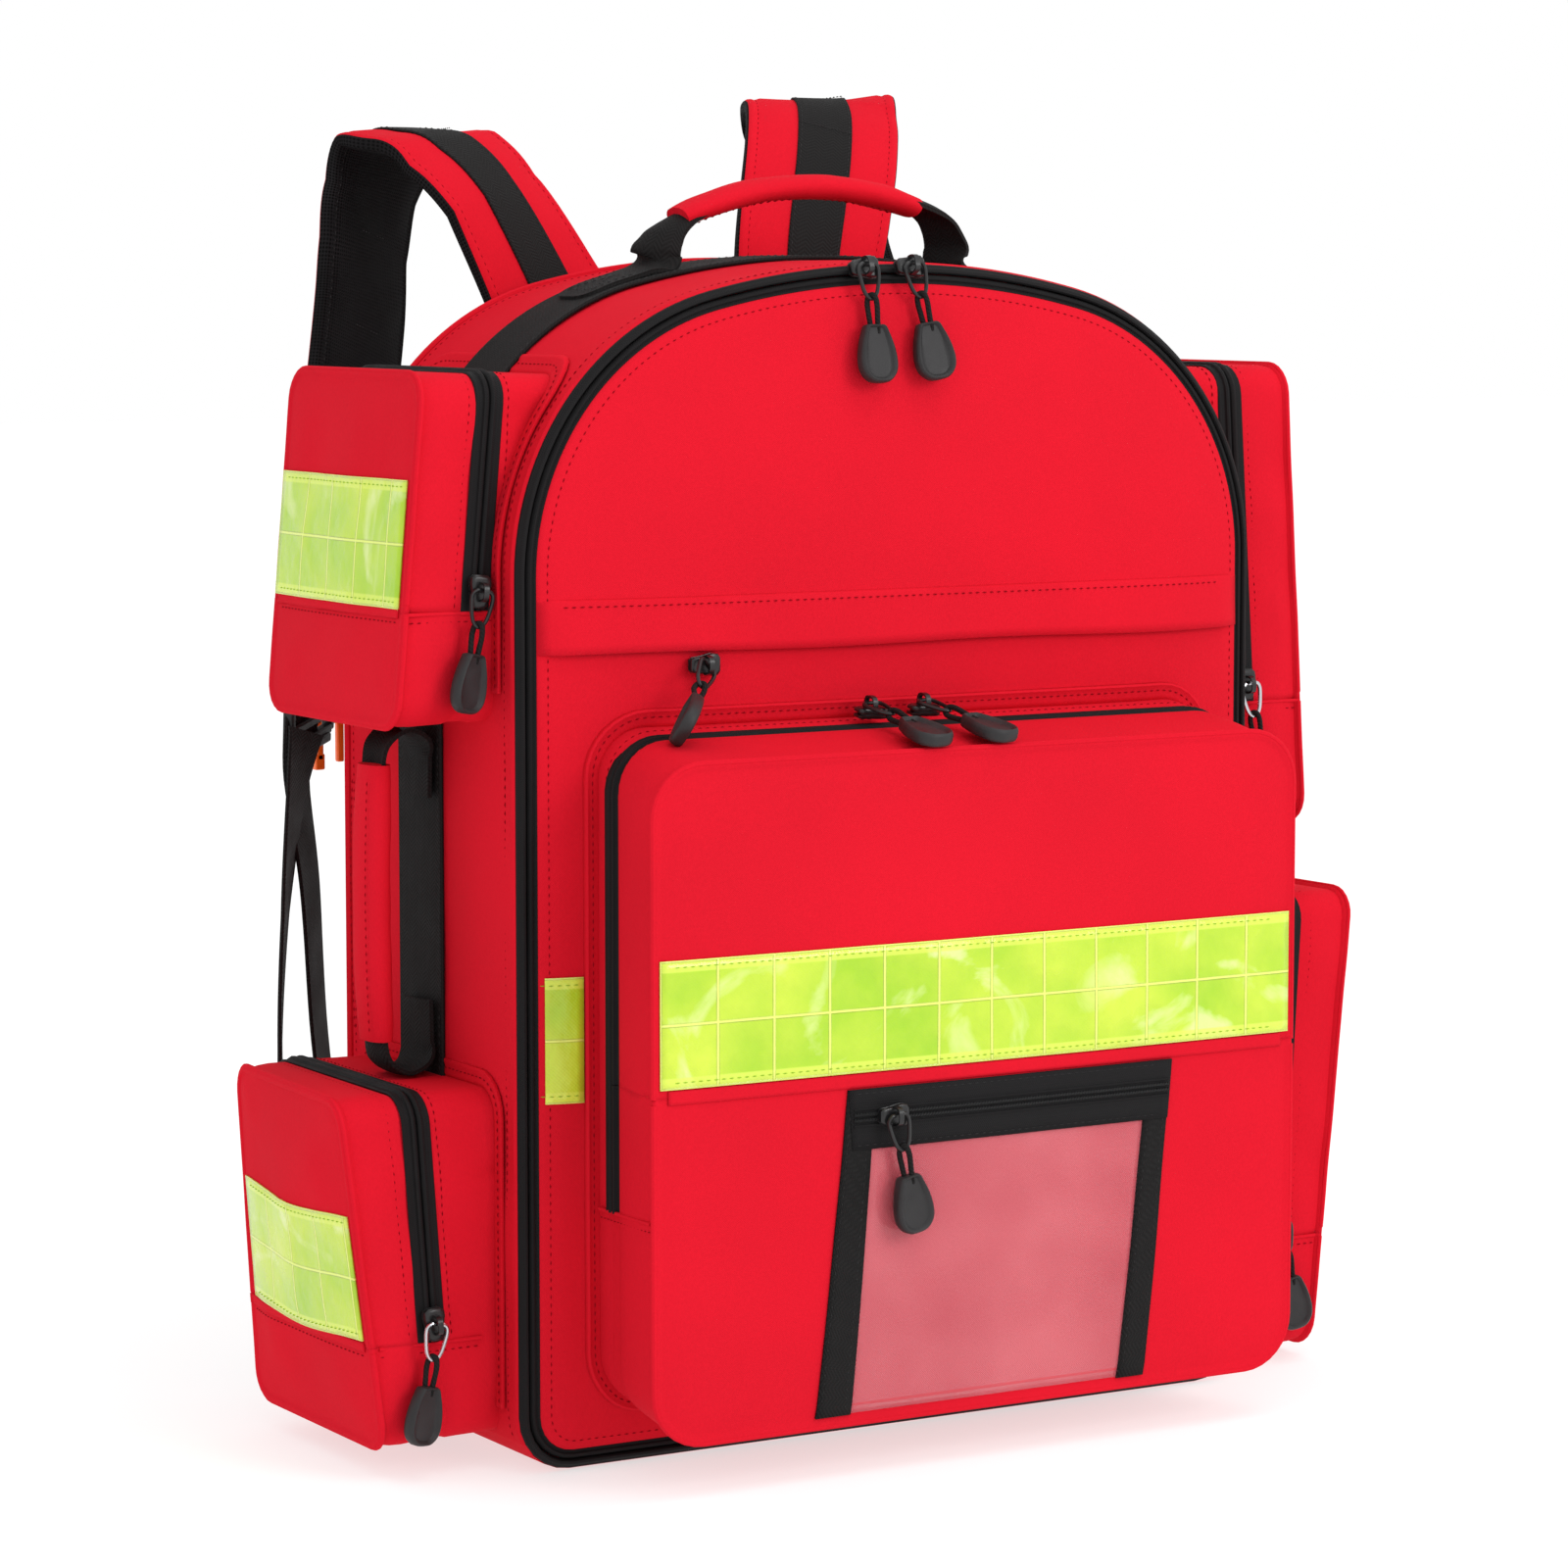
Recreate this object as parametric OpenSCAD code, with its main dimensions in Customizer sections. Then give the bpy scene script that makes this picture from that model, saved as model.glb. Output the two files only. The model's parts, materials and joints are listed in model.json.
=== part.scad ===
// Emergency responder's backpack: a zipped clamshell main compartment, a zipped
// front pocket with a document window, four zipped side pockets, two padded
// shoulder straps and two carrying handles. Millimetres, +Z up, front towards -Y,
// origin at the middle of the base on the floor.

/* [Main compartment] */
// Half the width between the main zip's two sides
half_w = 170; // [150:1:190]
// Height of the top of the main zip
zip_top = 472.5; // [455:0.5:490]
// Radius of the rounded shoulders
shoulder_r = 110; // [90:1:120]
// Radius of the flatter arc across the top
crown_r = 362; // [330:1:400]
// Depth from the back of the bag to the front zip
body_depth = 156; // [130:1:180]
// Thickness of the foam-lined side wall
wall = 8; // [5:0.5:10]

/* [Front pocket] */
// Half the width of the front pocket at its face
pocket_half_w = 150; // [130:1:155]
// Height of the pocket's lower edge
pocket_low = 22; // [15:1:40]
// Height of the pocket's top edge at its face
pocket_high = 287; // [270:1:295]
// Depth of the front pocket in front of the lid
pocket_depth = 62; // [45:1:75]
// Height of the line on which the pocket's cover folds
fold_z = 158; // [150:1:160]

/* [Side pockets] */
// Front face of the side pockets
side_front = -61; // [-66:1:-50]
// Rear face of the side pockets
side_rear = 55; // [45:1:62]
// Thickness of the side pockets' walls
side_wall = 3; // [2:0.5:4]

/* [Straps] */
// Width of the padded shoulder straps
strap_w = 70; // [55:1:75]
// Thickness of the padded shoulder straps
strap_t = 9; // [7:1:14]
// Width of the girth webbing and of the handle webbing
girth_w = 38; // [30:1:50]
// Width of the webbing on the shoulder straps
stripe_w = 25; // [20:1:30]

/* [Hidden] */
$fn = 96;
body_front = -body_depth / 2;          // plane of the main zip
body_back = body_depth / 2;            // rear face of the back panel
skin = 5;                              // the wall's outside beyond the zip line
base_z = skin;                         // height of the zip line at the bottom
corner_r = 18;                         // bottom corners of the zip line
shoulder_x = half_w - shoulder_r;      // centre of the shoulder arcs
crown_z = zip_top - crown_r;           // centre of the crown arc
shoulder_z = crown_z + sqrt(pow(crown_r - shoulder_r, 2) - pow(shoulder_x, 2));
gap = 0.3;                             // clearance between pieces that move apart
web_t = 1.7;                           // thickness of webbing
tape_t = 1.3;                          // thickness of zip tape
panel_back = body_front + 2;           // inner face of the lid
panel_seat = -84;                      // where the front pocket is sewn to the lid
panel_crown = -90;                     // most forward part of the lid
pocket_face = panel_seat - pocket_depth;
zip_y = -104;                          // where the front pocket's zip parts
fillet = 14;                           // rounding of the pocket outlines
window = [-79, 89, 25, 155];           // window surround: left, right, low, high
pane = [-62, 72, 26, 131];             // clear film: left, right, low, high
band_h = 50;                           // reflective tape
ring_drop = 6.1;                       // from the tape to the axis of a puller
side_lean = 10;                        // how far the side pockets' pullers hang outwards
tag_z = -36;                           // middle of a puller's tag below its axis

// Side pockets: side (-1 left, 1 right), low, high, outer face at the top and at
// the bottom, distance of the zip from the outer face, height of the fold
LEFT_UPPER = [-1, 298, 434, 207, 219, 31, 342];
LEFT_LOWER = [-1, 13, 152, 237, 227, 25, 54];
RIGHT_UPPER = [1, 238, 433, 207, 219, 31, 290];
RIGHT_LOWER = [1, 6, 204, 237, 226, 25, 54];

// Sliders: place on the tape and turn about X, Y and Z
MAIN_TILT = -20;
CREST_LEFT = -3;                       // degrees round the crown arc
CREST_RIGHT = 0.4;
crest_y = body_front - 2.9;
crest_r = crown_r + 2.7;
FRONT_SLIDER_Y = zip_y + 1;
FRONT_TILT = -80.8;
front_top_z = 296.3;
SLIP = [-99, panel_crown - tape_t, 320];
WINDOW_SLIDER = [-46, pocket_face - web_t - 0.2, 144];

// Left shoulder strap, from its root over the crest and down to its buckle
STRAP = [[-62, 86, 440], [-72, 88, 466], [-89, 101, 503], [-103, 116, 521], [-113, 131, 527],
         [-121, 144, 522], [-124.5, 150, 506], [-128, 150, 483], [-132, 147, 458],
         [-139, 141, 420], [-150, 133, 370], [-168, 118, 300]];
STRAP_TURN = [0, -2, -3, -3, -2, 8, 20, 25, 28, 29, 29, 29];   // turn of its width about Z
// The right strap stands higher; its route is given as for the left and mirrored
RIGHT_STRAP = [[-58, 86, 440], [-60, 88, 478], [-67, 98, 505], [-77, 112, 526], [-88, 128, 541],
               [-99, 142, 545], [-109, 154, 539], [-116, 160, 516], [-122.5, 156, 481],
               [-133, 147, 430], [-146, 136, 375], [-168, 118, 300]];
RIGHT_TURN = [0, 5, 9, 10, 10, 11, 14, 18, 22, 26, 29, 29];
LOAD = [[-177, 112, 288], [-180, 112, 262], [-174, 113, 215], [-171, 111, 150], [-168, 101, 95],
        [-164, 86, 50], [-162, 80, 28]];
TAIL = [[-181, 100, 282], [-187, 98, 255], [-193, 97, 205], [-196, 97, 150], [-194, 99, 96]];
CHEST = [-143, 147.5, 326];              // where the left chest strap hangs from
chest_w = 20;
chest_drop = 32;                       // length of webbing under its stitching
STRAP_STEPS = 3;                       // sections between the points of a strap's route
BUCKLE = [-173.5, 113, 290];           // left ladder lock, and its turn
BUCKLE_TURN = [12, -14, 29];

// Handles
grip_w = 24;
grip_t = 11;
grip_r = 162;                          // the top grip's bow
grip_peak = 514;                       // highest point of the top grip
handle_x = 2;                          // middle of the top handle
handle_low = 482;                      // where the handle webbing leaves its anchors
side_grip = [-204, -12, 168, 279];     // x, y, low and high end of the side grip
side_feet = [160, 290];                // heights of its webbing's two feet

red = [0.85, 0.08, 0.14];
black = [0.13, 0.13, 0.13];
lime = [0.78, 0.93, 0.3];

// ---------- outlines ----------

// The bag's outline seen from the front, moved outwards by o
module outline(o) {
    far = 2 * crown_r;
    lean = atan2(shoulder_z - crown_z, shoulder_x);
    translate([-half_w - o, base_z + corner_r])
        square([2 * (half_w + o), shoulder_z - base_z - corner_r]);
    translate([-half_w + corner_r, base_z - o])
        square([2 * (half_w - corner_r), shoulder_z - base_z]);
    for (s = [-1, 1]) {
        translate([s * shoulder_x, shoulder_z]) circle(r = shoulder_r + o);
        translate([s * (half_w - corner_r), base_z + corner_r]) circle(r = corner_r + o);
    }
    intersection() {
        translate([0, crown_z]) circle(r = crown_r + o);
        translate([0, crown_z])
            polygon([[0, 0], far * [cos(lean), sin(lean)], far * [-cos(lean), sin(lean)]]);
    }
}

// A slab of the bag's outline from the plane y0 to the plane y1
module slab(y0, y1, o) {
    translate([0, y1, 0]) rotate([90, 0, 0]) linear_extrude(y1 - y0) outline(o);
}

// A hoop of the bag's outline between the offsets inner and outer
module hoop(y0, y1, inner, outer) {
    difference() {
        slab(y0, y1, outer);
        slab(y0 - 1, y1 + 1, inner);
    }
}

module box(low, high) {
    translate(low) cube(high - low);
}

// A rounded rectangle standing in the XZ plane, from y to y + t
module plate(x0, x1, z0, z1, r, y, t) {
    for (x = [x0 + r, x1 - r], z = [z0 + r, z1 - r])
        translate([x, y + t, z]) rotate([90, 0, 0]) cylinder(r = r, h = t, $fn = 32);
}

// ---------- ribbons: webbing and padded straps that follow a route ----------

function unit(v) = v / norm(v);
function between(a, b, c, d, t) =
    0.5 * (2 * b + (c - a) * t + (2 * a - 5 * b + 4 * c - d) * t * t
           + (3 * b - a - 3 * c + d) * t * t * t);
function smooth(p, n) = [
    for (i = [0 : len(p) - 2]) for (k = [0 : n - 1])
        between(p[max(i - 1, 0)], p[i], p[i + 1], p[min(i + 2, len(p) - 1)], k / n),
    p[len(p) - 1]];
function along(r, i) = unit(r[min(i + 1, len(r) - 1)] - r[max(i - 1, 0)]);
function turned(turn, s) =
    let (k = min(floor(s), len(turn) - 2)) turn[k] + (turn[k + 1] - turn[k]) * (s - k);
function across(r, i, turn) =
    let (a = turned(turn, (len(turn) - 1) * i / (len(r) - 1)), d = [cos(a), sin(a), 0],
         t = along(r, i)) unit(d - (d * t) * t);

// A flat ribbon of width w and thickness t, lifted off the route's own line
module ribbon(p, w, t, lift, turn, n) {
    r = smooth(p, n);
    m = len(r);
    points = [for (i = [0 : m - 1])
        let (a = across(r, i, turn), u = cross(a, along(r, i)))
        for (q = [[-1, -1], [1, -1], [1, 1], [-1, 1]])
            r[i] + a * q.x * w / 2 + u * (lift + q.y * t / 2)];
    sides = [for (i = [0 : m - 2]) for (k = [0 : 3])
        let (a = 4 * i + k, b = 4 * i + (k + 1) % 4)
        for (f = [[a, a + 4, b], [b, a + 4, b + 4]]) f];
    last = 4 * (m - 1);
    ends = [[0, 1, 2], [0, 2, 3], [last, last + 2, last + 1], [last, last + 3, last + 2]];
    polyhedron(points, concat(sides, ends));
}

// ---------- body ----------

module main_gusset() {
    color(red) intersection() {
        hoop(body_front + 6, body_back - wall, skin - wall, skin);
        box([-300, -200, wall], [300, 200, 600]);
    }
}

module bottom_panel() {
    color(red) intersection() {
        slab(body_front + 6, body_back - wall, skin);
        box([-300, -200, -1], [300, 200, wall]);
    }
}

module back_panel() {
    color(red) slab(body_back - wall, body_back, skin);
}

module back_pads() {
    pad = 8;
    color(black) {
        for (s = [-1, 1])
            translate([s * 78, body_back, 0]) mirror([s > 0 ? 0 : 1, 0, 0])
                box([-52, 0, 170], [52, pad, 425]);
        box([-130, body_back, 60], [130, body_back + pad, 150]);
    }
}

module stiffener_boards() {
    board = 2.4;
    color([0.2, 0.2, 0.2]) {
        slab(body_back - wall - board, body_back - wall, -12);
        box([-150, body_front + 14, wall], [150, body_back - wall - 8, wall + board]);
    }
}

module inner_dividers() {
    low = 12;
    shelf = 235;
    thick = 6;
    color([0.25, 0.25, 0.27]) {
        box([-160, body_front + 16, shelf], [160, body_back - wall - 6, shelf + thick]);
        box([-thick / 2, body_front + 16, low], [thick / 2, body_back - wall - 6, shelf]);
    }
}

module girth_webbing() {
    color(black) intersection() {
        hoop(-girth_w / 2, girth_w / 2, skin, skin + web_t);
        box([-300, -60, wall], [300, 60, 600]);
    }
}

module main_zip_body() {
    hoop(body_front, body_front + 6, 0.15, skin);
}

// The arch of the bag above the handles' webbing, between two heights of x
module anchor_tip(x0, x1) {
    intersection() {
        hoop(-14, 14, skin + web_t, skin + 2 * web_t);
        box([x0, -60, 400], [x1, 60, 600]);
    }
}

module handle_anchors() {
    x = -half_w - skin - web_t;
    color(black) {
        anchor_tip(-112, -66);
        anchor_tip(60, 104);
        for (z = side_feet)
            box([x - web_t, -19, z - 6], [x, 15, z + 6]);
    }
}

// ---------- side pockets ----------

// Outer face of a side pocket at height z, as a distance from the middle plane
function face_x(p, z) = p[4] + (p[3] - p[4]) * (z - p[1]) / (p[2] - p[1]);
function zip_x(p, z) = face_x(p, z) - p[5];

// The whole solid of a side pocket, moved outwards by o
module pocket_solid(p, o) {
    r = 9;
    difference() {
        translate([0, side_rear + o, 0]) rotate([90, 0, 0])
            linear_extrude(side_rear - side_front + 2 * o) offset(r + o, $fn = 32)
                polygon([[120, p[1] + r], [face_x(p, p[1]) - r, p[1] + r],
                         [face_x(p, p[2]) - r, p[2] - r], [120, p[2] - r]]);
        slab(-100, 100, skin + web_t + 0.3);
    }
}

// Everything outboard of the zip line plus d, and above the fold plus lift
module outboard(p, d, lift) {
    z = p[6] + lift;
    far = 400;
    top = 600;
    translate([0, 100, 0]) rotate([90, 0, 0]) linear_extrude(200)
        polygon([[zip_x(p, z) + d, z], [far, z], [far, top], [zip_x(p, top) + d, top]]);
}

module on_side(p) {
    mirror([p[0] > 0 ? 0 : 1, 0, 0]) children();
}

// The fixed part of a side pocket: its rear gusset and the bucket under the fold
module side_pocket(p) {
    color(red) on_side(p) difference() {
        pocket_solid(p, 0);
        pocket_solid(p, -side_wall);
        outboard(p, 6, 0);
    }
}

// The part that opens: outer face above the fold, with the gusset up to the zip
module side_cover(p) {
    color(red) on_side(p) intersection() {
        difference() {
            pocket_solid(p, -gap);
            pocket_solid(p, -side_wall);
        }
        outboard(p, 6 + gap, gap);
    }
}

// Zip tape on a side pocket's front and top
module side_tape(p) {
    on_side(p) intersection() {
        difference() {
            pocket_solid(p, tape_t);
            pocket_solid(p, 0);
        }
        difference() {
            outboard(p, -6, 4);
            outboard(p, 6 - gap, -20);
        }
        box([0, -200, 0], [400, side_rear - 4, 600]);
    }
}

module body_zips() {
    color(black) {
        main_zip_body();
        for (p = [LEFT_UPPER, LEFT_LOWER, RIGHT_UPPER, RIGHT_LOWER]) side_tape(p);
    }
}

// ---------- lid ----------

// The lid's padded front, bulged, and thicker by t in front
module dome(t) {
    hull() {
        slab(body_front - 3 - t, panel_back, -6.6, $fn = 64);
        slab(panel_seat - 2 - t, panel_seat, -26, $fn = 64);
        slab(panel_crown - t, panel_seat, -60, $fn = 64);
    }
}

module lid_panel() {
    color(red) difference() {
        dome(0);
        box([-pocket_half_w - 3, -120, pocket_low - 4], [pocket_half_w + 3, panel_seat, 301]);
    }
}

// A layer of thickness t on the lid's front, inside the box given
module on_lid(t, low, high) {
    intersection() {
        difference() {
            dome(t);
            dome(0);
        }
        box(low, high);
    }
}

module storm_flap() {
    color(red) on_lid(2.5, [-158, -120, 326], [158, panel_seat - 1, 346]);
}

module lid_bands() {
    z = 148.5;
    color(lime) for (s = [-1, 1]) {
        x0 = s > 0 ? pocket_half_w + 4 : -half_w + 8;
        on_lid(0.8, [x0, -120, z], [x0 + half_w - 12 - pocket_half_w, body_front - 2, z + band_h]);
    }
}

module lid_zips() {
    color(black) {
        hoop(body_front - 3, panel_back, -6, -0.15);
        on_lid(tape_t, [-150, -120, 314], [150, panel_seat - 1, 325]);
        difference() {
            pocket_shape(tape_t);
            pocket_shape(0);
            box([-300, -200, -10], [300, 0, 107]);
            box([-300, -200, -10], [300, zip_y + gap, 400]);
            box([-300, zip_y + 6, -10], [300, 0, 400]);
        }
    }
}

module lid_mesh_pocket() {
    color([0.3, 0.3, 0.3])
        box([28 - half_w, panel_back, 40], [half_w - 28, panel_back + 3, 300]);
}

// ---------- front pocket ----------

// The front pocket's outer shape, grown by o
module pocket_shape(o) {
    rear_half_w = pocket_half_w - 7;
    hull() {
        plate(-rear_half_w - o, rear_half_w + o, pocket_low + 6 - o, pocket_high + 10 + o,
              fillet, panel_seat - 1, 1);
        plate(-pocket_half_w - o + 1, pocket_half_w + o - 1, pocket_low + 1 - o, pocket_high - 1 + o,
              fillet, pocket_face + 5, 1);
        plate(-pocket_half_w - o + 5, pocket_half_w + o - 5, pocket_low + 5 - o, pocket_high - 5 + o,
              fillet, pocket_face - o, 1);
    }
}

module pocket_shell() {
    thick = 4;
    difference() {
        pocket_shape(0);
        pocket_shape(-thick);
    }
}

module front_pocket_base() {
    color(red) difference() {
        pocket_shell();
        box([-300, -200, fold_z], [300, zip_y + gap, 400]);
    }
}

module front_pocket_cover() {
    color(red) intersection() {
        pocket_shell();
        box([-300, -200, fold_z + gap], [300, zip_y, 400]);
    }
}

module front_band() {
    low = fold_z + 3.5;
    color(lime) box([-pocket_half_w + 6, pocket_face - 0.8, low],
                    [pocket_half_w - 6, pocket_face, low + band_h]);
}

module window_frame() {
    color(black) difference() {
        box([window[0], pocket_face - web_t, window[2] + 4], [window[1], pocket_face, window[3]]);
        box([pane[0], pocket_face - 5, 0], [pane[1], pocket_face + 1, pane[3]]);
    }
}

module window_film() {
    color([0.9, 0.6, 0.62, 0.5])
        box([pane[0], pocket_face - 0.6, window[2] + 4], [pane[1], pocket_face, pane[3]]);
}

// ---------- zip hardware ----------

// A slider that straddles the teeth, with a hoop for its puller; it faces -Y
module zip_slider(flat) {
    w = 9;
    h = 13;
    t = 4.5;
    color([0.1, 0.1, 0.1]) {
        rotate([0, flat ? 90 : 0, 0]) difference() {
            box([-w / 2, -t, -h / 2], [w / 2, -gap, h / 2]);
            box([-1.8, -1.9, -h], [1.8, 1, h]);
        }
        for (z = [-3.2, 2])
            box([-0.4, -9, z], [0.4, -t, z + 1.2]);
        box([-0.4, -9, -3.2], [0.4, -7.6, 3.2]);
    }
}

// A puller hanging from the axis at the origin: wire ring, cord neck, moulded tag
module zip_puller() {
    wire = 0.8;
    span = 4;
    ring = -13;
    spread = atan2(span - 1.6, -ring);
    tag = [9, 5, 3];                   // half width, thickness, half the straight length
    color([0.1, 0.1, 0.1]) {
        translate([-span - wire, 0, 0]) rotate([0, 90, 0])
            cylinder(r = wire, h = 2 * (span + wire), $fn = 24);
        for (s = [-1, 1])
            translate([s * span, 0, 0]) rotate([0, 180 + s * spread, 0])
                cylinder(r = wire, h = -ring / cos(spread), $fn = 24);
        translate([0, 0, tag_z + 8]) cylinder(r = 2.2, h = -tag_z - 8 + ring, $fn = 24);
        for (z = [-tag.z, tag.z])
            translate([0, tag.y / 2, tag_z + z]) rotate([90, 0, 0]) cylinder(r = tag.x, h = tag.y);
        box([-tag.x, -tag.y / 2, tag_z - tag.z], [tag.x, tag.y / 2, tag_z + tag.z]);
    }
}

module crest(angle) {
    translate([0, crest_y, crown_z]) rotate([0, angle, 0]) translate([0, 0, crest_r])
        rotate([MAIN_TILT, 0, 0]) children();
}

// Where a puller's axis is, from a slider's place and its turn about X
function axis_of(place, tilt) = place + ring_drop * [0, -cos(tilt), -sin(tilt)];
function crest_place(angle) =
    [crest_r * sin(angle), crest_y, crown_z + crest_r * cos(angle)];

module hang(place, tilt, turn) {
    translate(axis_of(place, tilt)) rotate(turn) zip_puller();
}

module main_slider_left() {
    crest(CREST_LEFT) zip_slider(true);
}

module main_slider_right() {
    crest(CREST_RIGHT) zip_slider(true);
}

module main_puller_left() {
    hang(crest_place(CREST_LEFT), MAIN_TILT, [-11, 0, 0]);
}

module main_puller_right() {
    hang(crest_place(CREST_RIGHT), MAIN_TILT, [-11, -8, 0]);
}

module front_slider(x) {
    translate([x, FRONT_SLIDER_Y, front_top_z]) rotate([FRONT_TILT, 0, 0]) zip_slider(true);
}

module front_puller(x, turn) {
    hang([x, FRONT_SLIDER_Y, front_top_z], FRONT_TILT, [-76, 0, turn]);
}

module front_slider_left() {
    front_slider(-28);
}

module front_slider_right() {
    front_slider(-3);
}

module front_puller_left() {
    front_puller(-28, 6);
}

module front_puller_right() {
    front_puller(-3, 16);
}

module slip_slider() {
    translate(SLIP) zip_slider(true);
}

module slip_puller() {
    hang(SLIP, 0, [-37, 50, 0]);
}

module window_slider() {
    translate(WINDOW_SLIDER) zip_slider(true);
}

module window_puller() {
    hang(WINDOW_SLIDER, 0, [0, -11, 0]);
}

function side_place(p) =
    [p[0] * zip_x(p, p[6] + 8), side_front - tape_t, p[6] + 8];

module side_slider(p) {
    lean = atan2(p[4] - p[3], p[2] - p[1]);
    translate(side_place(p)) rotate([0, -p[0] * lean, 0]) zip_slider(false);
}

module side_puller(p) {
    hang(side_place(p), 0, [0, -p[0] * side_lean, 0]);
}

module left_upper_slider() {
    side_slider(LEFT_UPPER);
}

module left_lower_slider() {
    side_slider(LEFT_LOWER);
}

module right_upper_slider() {
    side_slider(RIGHT_UPPER);
}

module right_lower_slider() {
    side_slider(RIGHT_LOWER);
}

module left_upper_puller() {
    side_puller(LEFT_UPPER);
}

module left_lower_puller() {
    side_puller(LEFT_LOWER);
}

module right_upper_puller() {
    side_puller(RIGHT_UPPER);
}

module right_lower_puller() {
    side_puller(RIGHT_LOWER);
}

// ---------- handles ----------

// Handle webbing that stands on its narrow, pinched end and widens over a short run
module pinched(thick, width, foot, run, length) {
    rotate([90, 0, 90]) linear_extrude(thick, center = true)
        polygon([[-foot / 2, 0], [foot / 2, 0], [width / 2, run], [width / 2, length],
                 [-width / 2, length], [-width / 2, run]]);
}

module top_handle_grip() {
    half = 20;
    color(red) translate([handle_x, 0, grip_peak - grip_r]) rotate([90, 0, 0]) rotate([0, 0, 90 - half])
        rotate_extrude(angle = 2 * half)
            translate([grip_r - grip_t, -grip_w / 2]) square([grip_t, grip_w]);
}

module top_handle_webbing() {
    color(black) for (s = [-1, 1]) {
        foot = [handle_x + s * 70, handle_low];
        head = [handle_x + s * 52, grip_peak - 15];
        lean = atan2(head.x - foot.x, head.y - foot.y);
        translate([foot.x, 0, foot.y]) rotate([0, lean, 0])
            pinched(3, 26, 10, 12, norm(head - foot));
    }
}

module side_handle_grip() {
    r = 6;
    color(red) translate([side_grip.x, side_grip.y, side_grip[2]])
        linear_extrude(side_grip[3] - side_grip[2]) {
            square([2 * r, 2 * r], center = true);
            for (s = [-1, 1]) translate([0, s * r]) circle(r = r);
        }
}

module side_handle_webbing() {
    x = -half_w - skin - 2 * web_t - 2.6;
    color(black) for (end = [0, 1]) {
        foot = [x, side_feet[end]];
        head = [side_grip.x, side_grip[2 + end] + 0.1 - 0.2 * end];
        turn = atan2(head.x - foot.x, head.y - foot.y);
        translate([foot.x, side_grip.y, foot.y]) rotate([0, turn, 0])
            pinched(2.8, 22, 6, 6, norm(head - foot));
    }
}

// ---------- shoulder straps ----------

module left_shoulder_strap() {
    color(red) ribbon(STRAP, strap_w, strap_t, 0, STRAP_TURN, STRAP_STEPS);
}

module right_shoulder_strap() {
    color(red) mirror([1, 0, 0])
        ribbon(RIGHT_STRAP, strap_w, strap_t, 0, RIGHT_TURN, STRAP_STEPS);
}

module strap_webbing() {
    lift = strap_t / 2 + web_t / 2 + 0.2;
    color(black) {
        ribbon(STRAP, stripe_w, web_t, lift, STRAP_TURN, STRAP_STEPS);
        mirror([1, 0, 0])
            ribbon(RIGHT_STRAP, stripe_w, web_t, lift, RIGHT_TURN, STRAP_STEPS);
    }
}

// Plastic buckles at the ends of the straps
module ladder_locks() {
    color(black) for (s = [0, 1]) mirror([s, 0, 0])
        translate(BUCKLE) rotate(BUCKLE_TURN) difference() {
            box([-16, -3, -14], [16, 3, 6]);
            box([-13, -5, -3.5], [13, 5, 0]);
            box([-13, -5, -10.5], [13, 5, -7]);
        }
}

module adjuster_webbing() {
    color(black) for (s = [0, 1]) mirror([s, 0, 0]) {
        ribbon(LOAD, stripe_w, web_t, 0, [29, 10], 2);
        ribbon(TAIL, stripe_w, web_t, 0, [29, 50], 2);
    }
}

// ---------- chest strap ----------

module chest_strap(s) {
    color(black) translate([s * -CHEST.x, CHEST.y, CHEST.z])
        box([-chest_w / 2, -0.9, -chest_drop], [chest_w / 2, 0.9, 0]);
}

module left_chest_strap() {
    chest_strap(-1);
}

module right_chest_strap() {
    chest_strap(1);
}

// Two-pronged half of the buckle
module left_chest_clip() {
    color([0.95, 0.4, 0.1]) translate([CHEST.x, CHEST.y, CHEST.z - chest_drop]) {
        box([-12.5, -3, -14], [12.5, 3, 0]);
        for (x = [-11, -1.5, 8])
            box([x, -2.2, -34], [x + 3, 2.2, -14]);
    }
}

// Socket half of the buckle
module right_chest_clip() {
    color([0.95, 0.4, 0.1]) translate([-CHEST.x, CHEST.y, CHEST.z - chest_drop]) difference() {
        box([-14, -4.5, -34], [14, 4.5, 0]);
        box([-12, -2.6, -40], [12, 2.6, -10]);
    }
}

// ---------- covers ----------

module left_upper_pocket() {
    side_pocket(LEFT_UPPER);
}

module left_lower_pocket() {
    side_pocket(LEFT_LOWER);
}

module right_upper_pocket() {
    side_pocket(RIGHT_UPPER);
}

module right_lower_pocket() {
    side_pocket(RIGHT_LOWER);
}

module left_upper_cover() {
    side_cover(LEFT_UPPER);
}

module left_lower_cover() {
    side_cover(LEFT_LOWER);
}

module right_upper_cover() {
    side_cover(RIGHT_UPPER);
}

module right_lower_cover() {
    side_cover(RIGHT_LOWER);
}

main_gusset();
bottom_panel();
back_panel();
back_pads();
stiffener_boards();
inner_dividers();
girth_webbing();
body_zips();
left_upper_pocket();
left_lower_pocket();
right_upper_pocket();
right_lower_pocket();
handle_anchors();
left_shoulder_strap();
right_shoulder_strap();
strap_webbing();
ladder_locks();
adjuster_webbing();
lid_panel();
storm_flap();
lid_bands();
lid_zips();
lid_mesh_pocket();
front_pocket_base();
window_frame();
window_film();
front_pocket_cover();
front_band();
left_upper_cover();
left_lower_cover();
right_upper_cover();
right_lower_cover();
main_slider_left();
main_slider_right();
front_slider_left();
front_slider_right();
slip_slider();
window_slider();
left_upper_slider();
left_lower_slider();
right_upper_slider();
right_lower_slider();
main_puller_left();
main_puller_right();
front_puller_left();
front_puller_right();
slip_puller();
window_puller();
left_upper_puller();
left_lower_puller();
right_upper_puller();
right_lower_puller();
top_handle_grip();
top_handle_webbing();
side_handle_grip();
side_handle_webbing();
left_chest_strap();
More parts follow.
